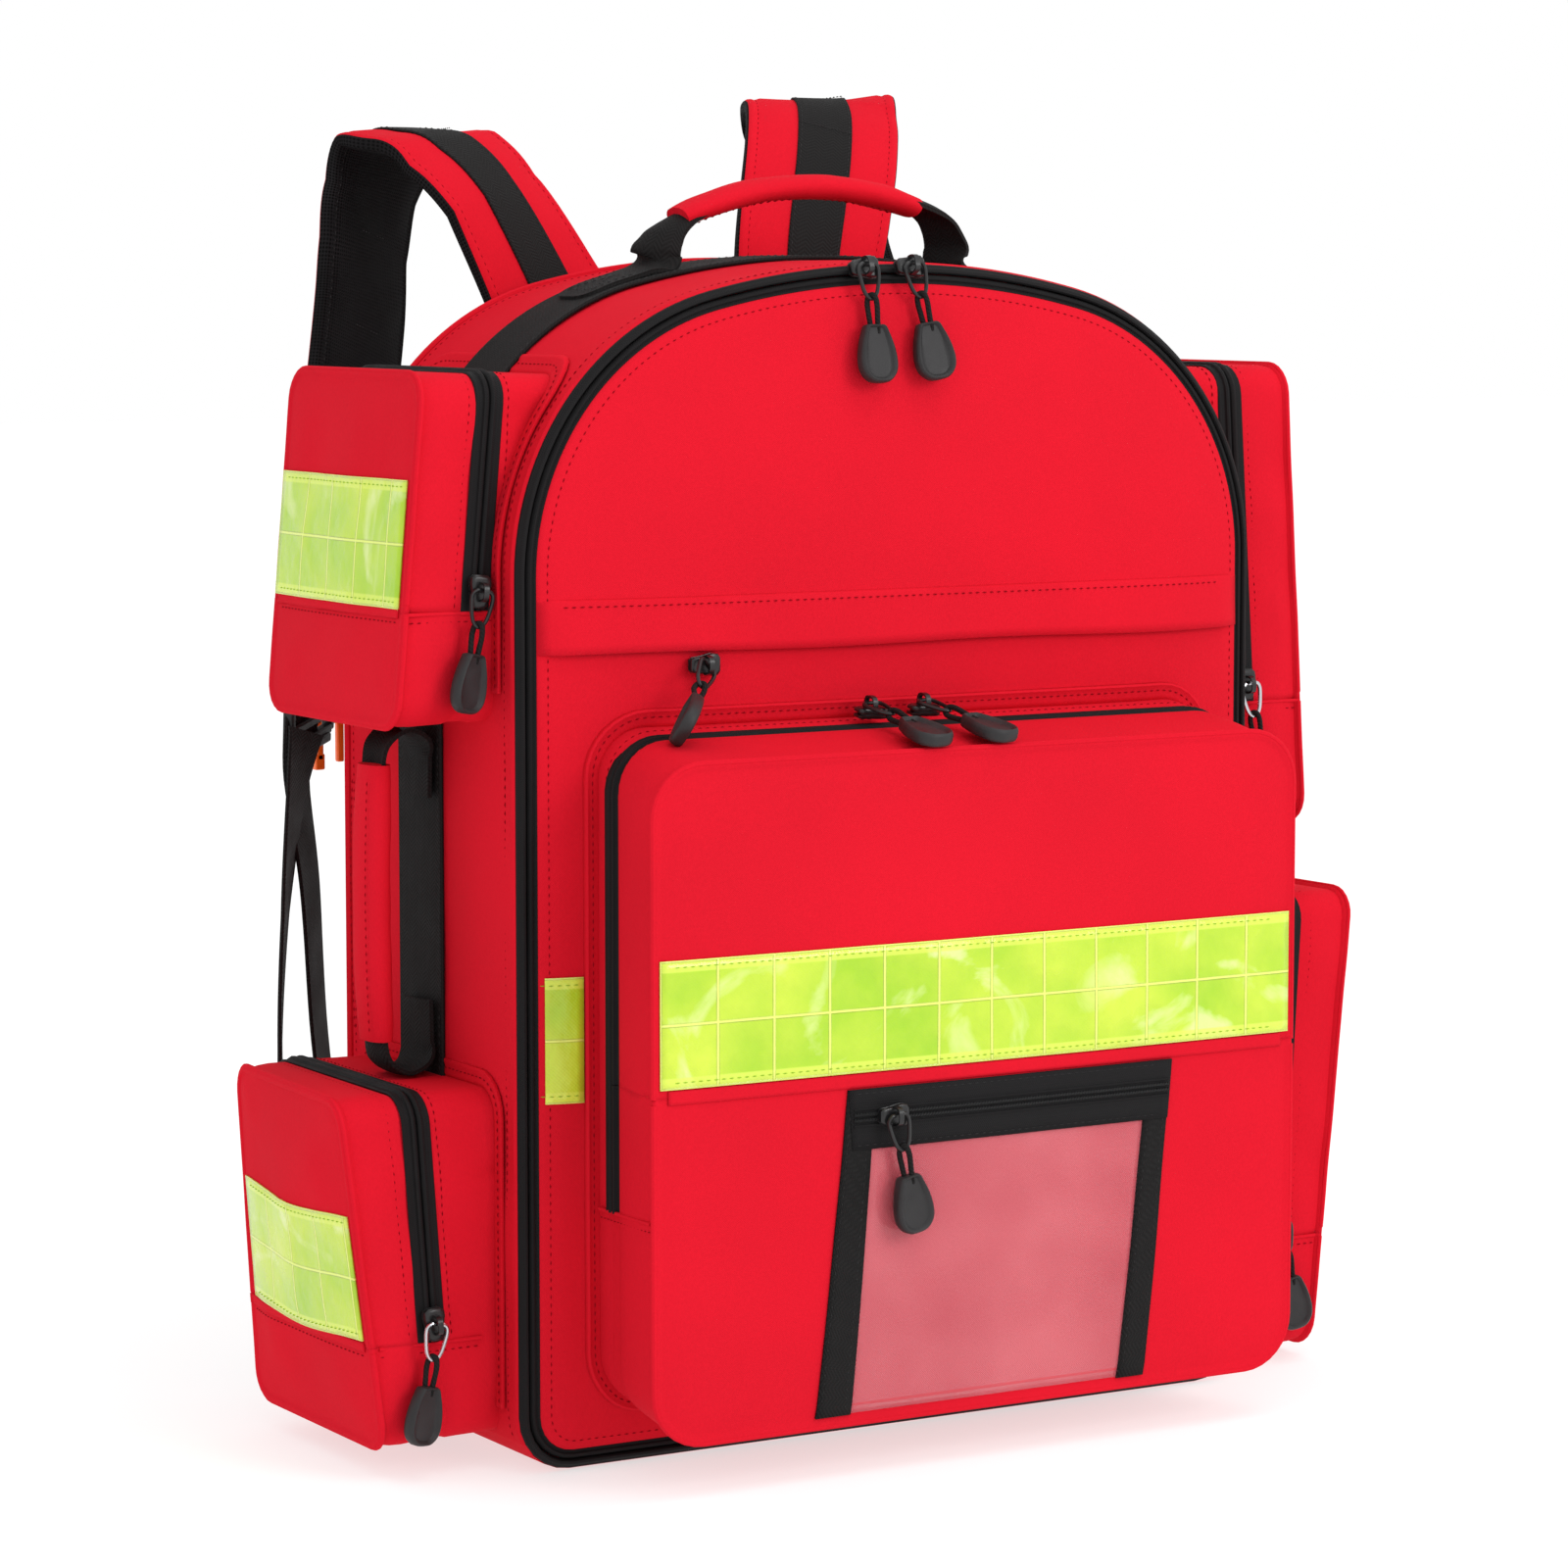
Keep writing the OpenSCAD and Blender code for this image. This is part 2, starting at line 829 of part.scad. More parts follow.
left_chest_clip();
right_chest_strap();
right_chest_clip();
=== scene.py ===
"""Looks of a responder's backpack: sewn fabric, webbing, zips and reflective tape round its CAD frame.

Shapes are worked out in millimetres (+Z up, front towards -Y) and turned into metres by piece().
"""
import json
import math

import bmesh
import bpy
import numpy as np
from mathutils import Euler, Matrix, Vector, noise
from mathutils.bvhtree import BVHTree


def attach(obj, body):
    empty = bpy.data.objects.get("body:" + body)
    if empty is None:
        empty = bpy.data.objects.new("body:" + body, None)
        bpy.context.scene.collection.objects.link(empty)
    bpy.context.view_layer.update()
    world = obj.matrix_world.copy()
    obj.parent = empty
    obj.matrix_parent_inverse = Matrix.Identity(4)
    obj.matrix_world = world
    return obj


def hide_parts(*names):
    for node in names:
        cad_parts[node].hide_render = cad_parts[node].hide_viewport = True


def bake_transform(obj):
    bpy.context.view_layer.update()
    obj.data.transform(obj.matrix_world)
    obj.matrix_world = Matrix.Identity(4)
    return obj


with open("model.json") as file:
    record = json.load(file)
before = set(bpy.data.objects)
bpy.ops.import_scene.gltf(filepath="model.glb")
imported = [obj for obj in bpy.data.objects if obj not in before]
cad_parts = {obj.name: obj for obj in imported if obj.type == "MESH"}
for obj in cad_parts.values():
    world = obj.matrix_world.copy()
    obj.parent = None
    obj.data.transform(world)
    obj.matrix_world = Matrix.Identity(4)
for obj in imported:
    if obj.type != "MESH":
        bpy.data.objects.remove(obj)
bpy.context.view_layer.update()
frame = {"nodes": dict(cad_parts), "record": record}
MM = 0.001
JOINTS = {j["name"]: j for j in frame["record"]["behaviour"]["joints"]}
FRONT, REAR, UP, SIDES = (0, -1, 0), (0, 1, 0), (0, 0, 1), (-1, 1)

# ---------- driving dimensions ----------

HALF_W, ZIP_TOP = 170, 472.5           # the line of the main zip
SHOULDER_R, CROWN_R, CORNER_R, BASE_Z = 110, 362, 18, 5
SKIN = 5                               # the wall stands outside the zip line by this
SEAT_Y = -84                           # where the front pocket leaves the lid
POCKET_Y, ZIP_Y = -146, -104           # face of the front pocket, and its zip
FOLD_Z, ZIP_END = 158.15, 107          # where its cover folds, and where its zip ends
BAND = 50                              # reflective tape
RING_DROP = 6.1                        # from a zip tape to the axis of its puller
GIRTH_W, WEB_T = 38, 1.7

# side, low, high, face at the top and at the bottom, zip's distance from the face, fold, bulge
SIDE = {"left_upper": (-1, 298, 434, 207, 219, 31, 342.15, 1.6),
        "left_lower": (-1, 13, 152, 237, 227, 25, 54.15, 3.2),
        "right_upper": (1, 238, 433, 207, 219, 31, 290.15, 2.2),
        "right_lower": (1, 6, 204, 237, 226, 25, 54.15, 3.2)}
SIDE_FRONT, SIDE_REAR = -61, 55

# routes of the straps and their webbing, all as if on the left, and how far each is turned about Z
STRAP = [(-62, 88, 440), (-71, 92, 465), (-90.5, 103, 506), (-103, 116, 524), (-112, 129.5, 528.5),
         (-118, 144.5, 527), (-124, 151, 507.5), (-128.5, 149.5, 483), (-131.5, 147, 457),
         (-139, 141, 420), (-150, 133, 370), (-168, 118, 300)]
STRAP_TURN = (0, 16, 24, 12, 10, 21, 32, 35, 34, 34, 30, 29)
RIGHT_STRAP = [(-55, 88, 440), (-58.5, 90, 478), (-67, 98, 503), (-77, 110, 524), (-86.5, 125, 539.5),
               (-93, 139, 545), (-101, 152, 540), (-105.5, 159.5, 517), (-104, 156, 481),
               (-119, 147, 430), (-140, 136, 375), (-168, 118, 300)]
RIGHT_TURN = (0, 5, 7, 7, 5, 3, 3, 4, 6, 12, 22, 29)
STRAP_W, STRIPE_W = 70, 25
LOAD = [(-177, 112, 288), (-180, 112, 262), (-174, 113, 215), (-171, 111, 150), (-168, 101, 95),
        (-164, 86, 50), (-162, 80, 28)]
TAIL = [(-181, 100, 282), (-187, 98, 255), (-193, 97, 205), (-196, 97, 150), (-194, 99, 96)]
BUCKLE, BUCKLE_TURN = (-173.5, 113, 290), (12, -14, 29)
CHEST = (-143, 147.5, 326)

SHOULDER_X = HALF_W - SHOULDER_R
CROWN_Z = ZIP_TOP - CROWN_R
SHOULDER_Z = CROWN_Z + math.sqrt((CROWN_R - SHOULDER_R) ** 2 - SHOULDER_X ** 2)
LEAN = math.atan2(SHOULDER_Z - CROWN_Z, SHOULDER_X)


# ---------- materials ----------

def rgb(r, g, b):
    """An sRGB colour, 0 to 255, as the linear one that shaders take"""
    return (*(c / 255 / 12.92 if c < 10.3 else ((c / 255 + 0.055) / 1.055) ** 2.4 for c in (r, g, b)), 1.0)


def toned(colour, k):
    return (*(min(1, c * k) for c in colour[:3]), 1)


class Shader:
    def __init__(self, name, **values):
        self.mat = bpy.data.materials.new(name)
        self.mat.use_nodes = True
        self.tree = self.mat.node_tree
        self.bsdf = self.tree.nodes["Principled BSDF"]
        for key, value in values.items():
            self.bsdf.inputs[key.replace("_", " ")].default_value = value

    def node(self, kind, inputs=None, **settings):
        node = self.tree.nodes.new("ShaderNode" + kind)
        for key, value in settings.items():
            setattr(node, key, value)
        for key, value in (inputs or {}).items():
            if isinstance(value, bpy.types.NodeSocket):
                self.tree.links.new(value, node.inputs[key])
            else:
                node.inputs[key].default_value = value
        return node

    def math(self, operation, *values):
        return self.node("Math", dict(enumerate(values)), operation=operation).outputs[0]

    def mix(self, factor, a, b):
        return self.node("Mix", {0: factor, 6: a, 7: b}, data_type="RGBA").outputs[2]

    def ramp(self, value, start, end, low, high):
        return self.node("MapRange", {0: value, 1: start, 2: end, 3: low, 4: high}).outputs[0]

    def spread(self, value, low, high):
        """Stretches the middle of a noise over a range"""
        return self.ramp(value, 0.3, 0.7, low, high)

    def fabric_uv(self):
        fab = self.node("Attribute", attribute_name="fab").outputs["Vector"]
        return self.node("SeparateXYZ", {0: fab}).outputs[:2]

    def wave(self, value, pitch):
        return self.math("SINE", self.math("MULTIPLY", value, 2 * math.pi / pitch))

    def half_wave(self, value):
        """A wave from -1 to 1, as one from 0 to 1"""
        return self.math("MULTIPLY_ADD", value, 0.5, 0.5)

    def clouds(self, scale, detail=2.0, distortion=0.0):
        place = self.node("TexCoord").outputs["Object"]
        return self.node("TexNoise", {"Vector": place, "Scale": scale, "Detail": detail,
                                      "Distortion": distortion}).outputs[0]

    def bump(self, height, distance, under=None):
        inputs = {"Strength": 1.0, "Distance": distance * MM, "Height": height}
        if under:
            inputs["Normal"] = under
        return self.node("Bump", inputs).outputs[0]

    def finish(self, colour=None, rough=None, normal=None):
        for key, value in (("Base Color", colour), ("Roughness", rough), ("Normal", normal)):
            if value is not None:
                self.tree.links.new(value, self.bsdf.inputs[key])
        return self.mat


def woven(name, colour, pitch=0.9, depth=0.08, pucker=0.5, rough=0.88):
    """Plain-woven polyester with slight puckers and a faint fade; its weave is lighter on the threads' crowns and
    darker in their hollows, as painted shade
    """
    s = Shader(name, Specular_IOR_Level=0.06, Sheen_Weight=0.0, Sheen_Roughness=0.6)
    u, v = s.fabric_uv()
    grain = s.half_wave(s.math("MULTIPLY", s.wave(u, pitch), s.wave(v, pitch)))
    fade = s.clouds(9.0, 4.0)
    lint = s.clouds(900.0, 1.0)
    # painted shade: the grain term darkens the weave's hollows and lightens its crowns; fade and lint are random tone
    tone = s.math("MULTIPLY_ADD", grain, 0.16, s.math("MULTIPLY", s.spread(fade, 0, 1), 0.55))
    tone = s.math("MULTIPLY_ADD", lint, 0.6, tone)
    soft = s.bump(s.clouds(38.0, 3.0), pucker)
    return s.finish(s.mix(tone, toned(colour, 0.84), toned(colour, 1.07)), s.spread(fade, rough - 0.05, rough + 0.05),
                    s.bump(grain, depth, s.bump(lint, 0.05, soft)))


def webbing(name, colour, pitch=1.7, rib=4.2, depth=0.16, rough=0.62, specular=0.35):
    """Woven webbing or zip tape: chevron ribs along its length, lighter on their tops and darker in the grooves as
    painted shade
    """
    s = Shader(name, Specular_IOR_Level=specular)
    u, v = s.fabric_uv()
    slant = s.math("MULTIPLY", s.math("PINGPONG", v, rib), 0.7)
    ribs = s.half_wave(s.wave(s.math("ADD", u, slant), pitch))
    height = s.math("MULTIPLY_ADD", s.half_wave(s.wave(v, 1.1)), 0.4, ribs)
    cloud = s.clouds(60.0, 3.0)
    # painted shade: the tone follows the ribs' height, darker in the grooves; the cloud adds random tone
    tone = s.math("MULTIPLY_ADD", height, 0.4, s.math("MULTIPLY", s.spread(cloud, 0, 1), 0.4))
    return s.finish(s.mix(tone, toned(colour, 0.6), toned(colour, 1.5)), s.spread(cloud, rough - 0.06, rough + 0.08),
                    s.bump(height, depth, s.bump(cloud, 0.3)))


def air_mesh(name, colour, pitch=3.0):
    """Spacer mesh: staggered holes in a knitted face, with painted shade darkening the holes"""
    s = Shader(name, Specular_IOR_Level=0.08)
    u, v = s.fabric_uv()
    a = s.wave(s.math("ADD", u, v), pitch)
    b = s.wave(s.math("SUBTRACT", u, v), pitch)
    holes = s.ramp(s.half_wave(s.math("MULTIPLY", a, b)), 0.52, 0.78, 0.0, 1.0)
    cloud = s.clouds(40.0, 3.0)
    knit = s.mix(s.spread(cloud, 0, 1), colour, toned(colour, 2.4))
    deep = s.math("SUBTRACT", 1.0, holes)
    # painted shade: the holes take a much darker copy of the colour
    return s.finish(s.mix(holes, knit, toned(colour, 0.2)), s.spread(cloud, 0.7, 0.85),
                    s.bump(deep, 0.5, s.bump(cloud, 0.4)))


def reflective(name):
    """High-visibility prismatic tape: sealed cells between lighter welds, under clear vinyl, with painted glare
    highlights and a faint painted glow
    """
    # the faint lime emission is a painted glow: the tape gives off light of its own
    s = Shader(name, Specular_IOR_Level=0.4, Coat_Weight=0.3, Coat_Roughness=0.12,
               Emission_Color=rgb(205, 232, 60), Emission_Strength=0.03)
    u, v = s.fabric_uv()
    cell, rim = BAND / 2, 4.5
    near = s.math("MINIMUM", s.math("PINGPONG", u, cell / 2), s.math("PINGPONG", v, cell / 2))
    weld = s.ramp(near, 0.35, 0.8, 1.0, 0.0)
    across = s.math("PINGPONG", v, BAND)
    border = s.math("MAXIMUM", s.ramp(across, rim - 0.3, rim + 0.3, 1.0, 0.0),
                    s.ramp(across, BAND - rim - 0.3, BAND - rim + 0.3, 0.0, 1.0))
    pick = s.node("CombineXYZ", {k: s.math("FLOOR", s.math("DIVIDE", q, cell)) for k, q in enumerate((u, v))})
    chance = s.node("TexWhiteNoise", {"Vector": pick.outputs[0]}, noise_dimensions="3D").outputs[0]
    crumple = s.clouds(30.0, 4.0)
    tone = s.math("MULTIPLY_ADD", chance, 0.3, s.math("MULTIPLY", s.spread(crumple, 0, 1), 0.7))
    # painted highlights: pale glare patches mixed into the tape's colour
    glare = s.ramp(s.clouds(17.0, 5.0, 1.6), 0.56, 0.66, 0.0, 0.55)
    body = s.mix(glare, s.mix(tone, rgb(146, 196, 12), rgb(206, 224, 62)), rgb(232, 240, 176))
    base = s.mix(weld, s.mix(s.math("MULTIPLY", border, 0.75), body, rgb(214, 232, 84)), rgb(224, 238, 112))
    prism = s.math("MULTIPLY", s.wave(u, 1.5), s.wave(v, 1.5))
    return s.finish(base, s.spread(crumple, 0.16, 0.3), s.bump(weld, 0.5, s.bump(crumple, 4.0, s.bump(prism, 0.02))))


def clear_film(name):
    """Flexible clear vinyl, a little milky, with soft ripples"""
    s = Shader(name, Specular_IOR_Level=0.35, Coat_Weight=0.4, Coat_Roughness=0.1, Alpha=0.36)
    haze = s.clouds(20.0, 2.0)
    base = s.mix(s.spread(haze, 0, 1), rgb(210, 108, 120), rgb(230, 134, 144))
    return s.finish(base, s.spread(haze, 0.12, 0.22), s.bump(s.clouds(11.0, 2.0), 1.6))


def moulded(name, colour, rough=0.45, grain=0.04, coat=0.0, metal=0.0, wear=1.6, specular=0.5):
    """Moulded plastic or rubber, or enamelled metal: fine grain, and a faint change of tone"""
    s = Shader(name, Specular_IOR_Level=specular, Coat_Weight=coat, Metallic=metal)
    cloud = s.clouds(120.0, 4.0)
    return s.finish(s.mix(s.spread(cloud, 0, 1), colour, toned(colour, wear)), s.spread(cloud, rough - 0.08, rough + 0.1),
                    s.bump(s.clouds(2600.0, 1.0), grain))


RED = woven("red_polyester", rgb(208, 22, 40))
RED_LINING = woven("red_lining", rgb(160, 14, 28), pitch=1.3)
THREAD = woven("red_thread", rgb(140, 6, 20), pitch=0.5, depth=0.1, pucker=0.1)
BLACK = webbing("black_webbing", rgb(25, 24, 24), rough=0.75, specular=0.14)
TAPE = webbing("zip_tape", rgb(22, 21, 22), pitch=0.9, rib=1.6, depth=0.12, rough=0.65, specular=0.14)
COIL = webbing("zip_coil", rgb(20, 20, 21), pitch=1.35, rib=60, depth=0.5, rough=0.5, specular=0.25)
MESH = air_mesh("black_air_mesh", rgb(17, 16, 17))
DIVIDER = woven("grey_divider", rgb(70, 71, 75), pitch=1.2, rough=0.7)
BOARD = moulded("board_plastic", rgb(56, 56, 56), rough=0.6)
LIME = reflective("reflective_tape")
LIME_THREAD = woven("lime_thread", rgb(150, 190, 50), pitch=0.5, depth=0.1, pucker=0.1)
FILM = clear_film("clear_film")
ENAMEL = moulded("black_enamel", rgb(20, 20, 21), rough=0.35, coat=0.15, specular=0.35)
CHROME = moulded("bright_wire", rgb(190, 192, 196), rough=0.22, metal=1.0, wear=1.1)
RUBBER = moulded("puller_rubber", rgb(34, 33, 34), rough=0.5, grain=0.08, specular=0.3)
PLASTIC = moulded("black_plastic", rgb(22, 22, 23), rough=0.45, grain=0.06, specular=0.3)
ORANGE = moulded("orange_plastic", rgb(248, 104, 22), rough=0.4, grain=0.05, wear=1.2)
BLACK_THREAD = webbing("grey_thread", rgb(52, 51, 52), pitch=0.6, rib=0.8, specular=0.15)

SLOTS = {"red_fabric": (RED, THREAD), "black_webbing": (BLACK, BLACK_THREAD, LIME_THREAD), "zip_tape": (TAPE, COIL),
         "mesh_padding": (MESH,), "reflective_tape": (LIME,), "clear_film": (FILM,), "slider_metal": (ENAMEL,),
         "black_plastic": (PLASTIC,), "orange_plastic": (ORANGE,), "divider_fabric": (DIVIDER,)}
SLOT_OF = {mat.name: slot for slot, mats in SLOTS.items() for mat in mats}


# ---------- meshes ----------

class Skin:
    """A mesh under construction, with the fabric's own coordinates at each face corner"""
    def __init__(self):
        self.verts, self.faces, self.uvs, self.mats = [], [], [], []

    def add(self, verts, faces, uvs=None, mat=0):
        first = len(self.verts)
        self.verts += [tuple(v) for v in verts]
        self.faces += [[first + i for i in f] for f in faces]
        self.uvs += list(uvs) if uvs else [None] * len(faces)
        self.mats += [mat] * len(faces) if isinstance(mat, int) else list(mat)
        return self

    def bm(self, weld=False):
        bm = bmesh.new()
        fab = bm.loops.layers.float_vector.new("fab")
        seen, verts = {}, []
        for k, v in enumerate(self.verts):
            key = tuple(math.floor(c * 50 + 0.2137) for c in v) if weld else k
            verts.append(seen[key] if key in seen else seen.setdefault(key, bm.verts.new(v)))
        for face, uv, mat in zip(self.faces, self.uvs, self.mats):
            keep = [k for k, i in enumerate(face) if verts[i] is not verts[face[k - 1]]]
            if len({id(verts[face[k]]) for k in keep}) < 3:
                continue
            made = bm.faces.new([verts[face[k]] for k in keep])
            made.material_index = mat
            if uv:
                for loop, k in zip(made.loops, keep):
                    loop[fab] = (*uv[k], 1)
        bmesh.ops.recalc_face_normals(bm, faces=bm.faces)
        return bm


def same(direction, n):
    return np.tile(np.asarray(direction, float), (n, 1))


def to3(points, y=0.0):
    """Points (x, z) of an outline, set at a depth or at one depth each"""
    points = np.asarray(points, float)
    return np.stack([points[:, 0], np.broadcast_to(y, len(points)), points[:, 1]], 1)


def at_depth(p, y):
    return (p[0], y, p[1])


def grid_faces(rows, cols, closed=False):
    """Faces between rows of points; a closed row also joins its last point to its first"""
    return [(j * cols + i, j * cols + (i + 1) % cols, (j + 1) * cols + (i + 1) % cols, (j + 1) * cols + i)
            for j in range(rows - 1) for i in range(cols if closed else cols - 1)]


def sweep(path, a_axis, b_axis, profile, loop=False, mat=0):
    """Carries the profile's points (a, b) along the path on its two axes"""
    path, a_axis, b_axis, prof = (np.asarray(q, float) for q in (path, a_axis, b_axis, profile))
    n = len(path)
    if prof.ndim == 2:
        prof = np.broadcast_to(prof, (n,) + prof.shape)
    m = prof.shape[1]
    verts = path[:, None] + a_axis[:, None] * prof[..., :1] + b_axis[:, None] * prof[..., 1:]

    def run(points):
        steps = np.linalg.norm(np.diff(points, axis=0, append=points[:1]), axis=1)
        return np.concatenate([[0], np.cumsum(steps)])

    along, over = run(path), run(prof[n // 2])
    faces, uvs = [], []
    for i in range(n if loop else n - 1):
        for j in range(m):
            i2, j2 = (i + 1) % n, (j + 1) % m
            faces.append((i * m + j, i2 * m + j, i2 * m + j2, i * m + j2))
            uvs.append([(along[i], over[j]), (along[i + 1], over[j]),
                        (along[i + 1], over[j + 1]), (along[i], over[j + 1])])
    for i in () if loop else (0, n - 1):
        faces.append([i * m + j for j in range(m)])
        uvs.append([(along[i] + q[0], over[j]) for j, q in enumerate(prof[i])])
    mats = mat if isinstance(mat, int) else [mat[k % m] for k in range(len(faces))]
    return Skin().add(verts.reshape(-1, 3), faces, uvs, mats)


def loft(rings, place=at_depth, caps=(False, True), centre=None, steps=8, fill=None, skin=None, mat=0):
    """Skins closed rings, each (points, depth), and fills the ends in towards centre(points)"""
    rings = [(np.asarray(p, float), d) for p, d in rings]

    def shrink(points, depth):
        mid = centre(points) if centre else np.broadcast_to(points.mean(0), points.shape)
        for t in np.linspace(1, 0, steps + 1)[1:]:
            p = mid + (points - mid) * t
            yield p, (fill(t, p, depth) if fill else depth)

    if caps[0]:
        rings = list(shrink(*rings[0]))[::-1] + rings
    if caps[1]:
        rings = rings + list(shrink(*rings[-1]))
    verts = [place(p, d) for points, depth in rings for p, d in zip(points, np.broadcast_to(depth, len(points)))]
    return (skin or Skin()).add(verts, grid_faces(len(rings), len(rings[0][0]), closed=True), None, mat)


def box_map(mesh):
    """Gives fabric coordinates to corners that have none: the position, along the face's own plane"""
    data = mesh.attributes["fab"].data
    fab, where, index = np.zeros(len(data) * 3), np.zeros(len(mesh.vertices) * 3), np.zeros(len(mesh.loops), int)
    data.foreach_get("vector", fab)
    mesh.vertices.foreach_get("co", where)
    mesh.loops.foreach_get("vertex_index", index)
    fab = fab.reshape(-1, 3)
    normals = np.array([p.normal for p in mesh.polygons])
    axis = np.repeat(np.abs(normals).argmax(1), [p.loop_total for p in mesh.polygons])
    point = where.reshape(-1, 3)[index] / MM
    bare = fab[:, 2] == 0
    fab[bare, 0] = np.where(axis == 0, point[:, 1], point[:, 0])[bare]
    fab[bare, 1] = np.where(axis == 2, point[:, 1], point[:, 2])[bare]
    data.foreach_set("vector", fab.ravel())


def piece(name, source, mats, body, stands=(), slot=None, thick=0.0, bevel=0.0, weld=False):
    """Turns a mesh in millimetres into a finished object that rides on a body"""
    bm = source.bm(weld) if isinstance(source, Skin) else source.copy()
    bmesh.ops.scale(bm, vec=(MM,) * 3, verts=bm.verts)
    mesh = bpy.data.meshes.new(name)
    bm.to_mesh(mesh)
    bm.free()
    box_map(mesh)
    mats = mats if isinstance(mats, list) else [mats]
    for mat in mats:
        mesh.materials.append(mat)
    mesh.shade_smooth()
    mesh.set_sharp_from_angle(angle=math.radians(38))
    obj = bpy.data.objects.new(name, mesh)
    bpy.context.scene.collection.objects.link(obj)
    if thick:
        mod = obj.modifiers.new("thickness", "SOLIDIFY")
        mod.thickness, mod.offset = thick * MM, -1
    if bevel:
        mod = obj.modifiers.new("edges", "BEVEL")
        mod.width, mod.segments, mod.limit_method = bevel * MM, 2, "ANGLE"
        mod.harden_normals = False
    if stands:
        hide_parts(*stands)
    slot or SLOT_OF[mats[0].name]
    if body:
        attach(obj, body)
    return obj


def split(bm, cuts, sort):
    """Cuts a mesh along planes and shares its faces out by sort(middle of face)"""
    for point, normal in cuts:
        bmesh.ops.bisect_plane(bm, geom=bm.verts[:] + bm.edges[:] + bm.faces[:], dist=1e-4,
                               plane_co=point, plane_no=normal)
    keys = [sort(f.calc_center_median()) for f in bm.faces]
    out = {}
    for key in sorted({k for k in keys if k}):
        out[key] = bm.copy()
        out[key].faces.ensure_lookup_table()
        rest = [f for f, k in zip(out[key].faces, keys) if k != key]
        bmesh.ops.delete(out[key], geom=rest, context="FACES")
    return out


def ripple(point, size, amount, seed=0):
    """A soft unevenness of cloth at a point"""
    return amount * noise.noise(Vector(point) / size + Vector((seed, seed * 1.7, 0)))


# ---------- outlines and paths ----------

def hand(side):
    return "left" if side < 0 else "right"


def arc(centre, radius, start, end, step):
    n = max(4, round(abs(end - start) * max(radius, 16) / step))
    turn = np.linspace(start, end, n + 1)
    out = np.stack([np.cos(turn), np.sin(turn)], 1)
    return np.asarray(centre) + radius * out, out


def line(start, end, out, step):
    start, end = np.asarray(start, float), np.asarray(end, float)
    n = max(1, round(np.linalg.norm(end - start) / step))
    t = np.linspace(0, 1, n + 1)[:, None]
    return start + (end - start) * t, same(out, n + 1)


def join(parts):
    points, outs = (np.concatenate([p[k] for p in parts]) for k in (0, 1))
    keep = np.append(True, np.linalg.norm(np.diff(points, axis=0), axis=1) > 1e-6)
    return points[keep], outs[keep]


def bag_outline(step=5.0):
    """The main zip's line and its outward directions, closed, from the middle of the bottom"""
    half = join([
        line((0, BASE_Z), (HALF_W - CORNER_R, BASE_Z), (0, -1), step),
        arc((HALF_W - CORNER_R, BASE_Z + CORNER_R), CORNER_R, -math.pi / 2, 0, step),
        line((HALF_W, BASE_Z + CORNER_R), (HALF_W, SHOULDER_Z), (1, 0), step),
        arc((SHOULDER_X, SHOULDER_Z), SHOULDER_R, 0, LEAN, step),
        arc((0, CROWN_Z), CROWN_R, LEAN, math.pi / 2, step)])
    return tuple(np.concatenate([q, (q * (-1, 1))[::-1][1:-1]]) for q in half)


OUT_P, OUT_N = bag_outline()


def hoop(offset):
    return OUT_P + OUT_N * offset


def edge_distance(points):
    """How far inside the zip line each point is"""
    return np.array([np.min(np.linalg.norm(OUT_P - p, axis=1)) for p in points])


def shell_x(z, offset=SKIN):
    """Half the bag's width at a height"""
    if z <= SHOULDER_Z:
        return HALF_W + offset
    if z - SHOULDER_Z < (SHOULDER_R + offset) * math.sin(LEAN):
        return SHOULDER_X + math.sqrt((SHOULDER_R + offset) ** 2 - (z - SHOULDER_Z) ** 2)
    return math.sqrt(max(0, (CROWN_R + offset) ** 2 - (z - CROWN_Z) ** 2))


def rounded(a0, a1, b0, b1, r, step=4.0):
    """A rounded rectangle and its outward directions, closed, anticlockwise from the bottom's middle"""
    mid = (a0 + a1) / 2
    q = math.pi / 2
    points, outs = join([
        line((mid, b0), (a1 - r, b0), (0, -1), step), arc((a1 - r, b0 + r), r, -q, 0, step),
        line((a1, b0 + r), (a1, b1 - r), (1, 0), step), arc((a1 - r, b1 - r), r, 0, q, step),
        line((a1 - r, b1), (a0 + r, b1), (0, 1), step), arc((a0 + r, b1 - r), r, q, 2 * q, step),
        line((a0, b1 - r), (a0, b0 + r), (-1, 0), step), arc((a0 + r, b0 + r), r, 2 * q, 3 * q, step),
        line((a0 + r, b0), (mid, b0), (0, -1), step)])
    return points[:-1], outs[:-1]


def above(points, outs, height):
    """The run of a closed outline that is above a height, its two ends exactly on it"""
    keep = np.flatnonzero(points[:, 1] > height + 0.01)
    p, o = points[keep], outs[keep]
    first, last = p[0].copy(), p[-1].copy()
    first[1] = last[1] = height
    return np.vstack([first, p, last]), np.vstack([o[0], o, o[-1]])


def spine(low, high):
    """A filled outline closes on the upright line x = 0 between two heights"""
    return lambda p: np.stack([np.zeros(len(p)), np.clip(p[:, 1], low, high)], 1)


def smooth_path(points, n=8):
    """A Catmull-Rom curve through the points"""
    p = [np.asarray(q, float) for q in points]
    out = []
    for i in range(len(p) - 1):
        a, b, c, d = p[max(i - 1, 0)], p[i], p[i + 1], p[min(i + 2, len(p) - 1)]
        for t in np.arange(n) / n:
            out.append(0.5 * (2 * b + (c - a) * t + (2 * a - 5 * b + 4 * c - d) * t * t
                              + (3 * b - a - 3 * c + d) * t ** 3))
    return np.array(out + [p[-1]])


def unit(v):
    return v / np.linalg.norm(v, axis=-1, keepdims=True)


def heading(path, loop=False):
    if loop:
        return unit(np.roll(path, -1, 0) - np.roll(path, 1, 0))
    return unit(np.vstack([path[1:], path[-1:]]) - np.vstack([path[:1], path[:-1]]))


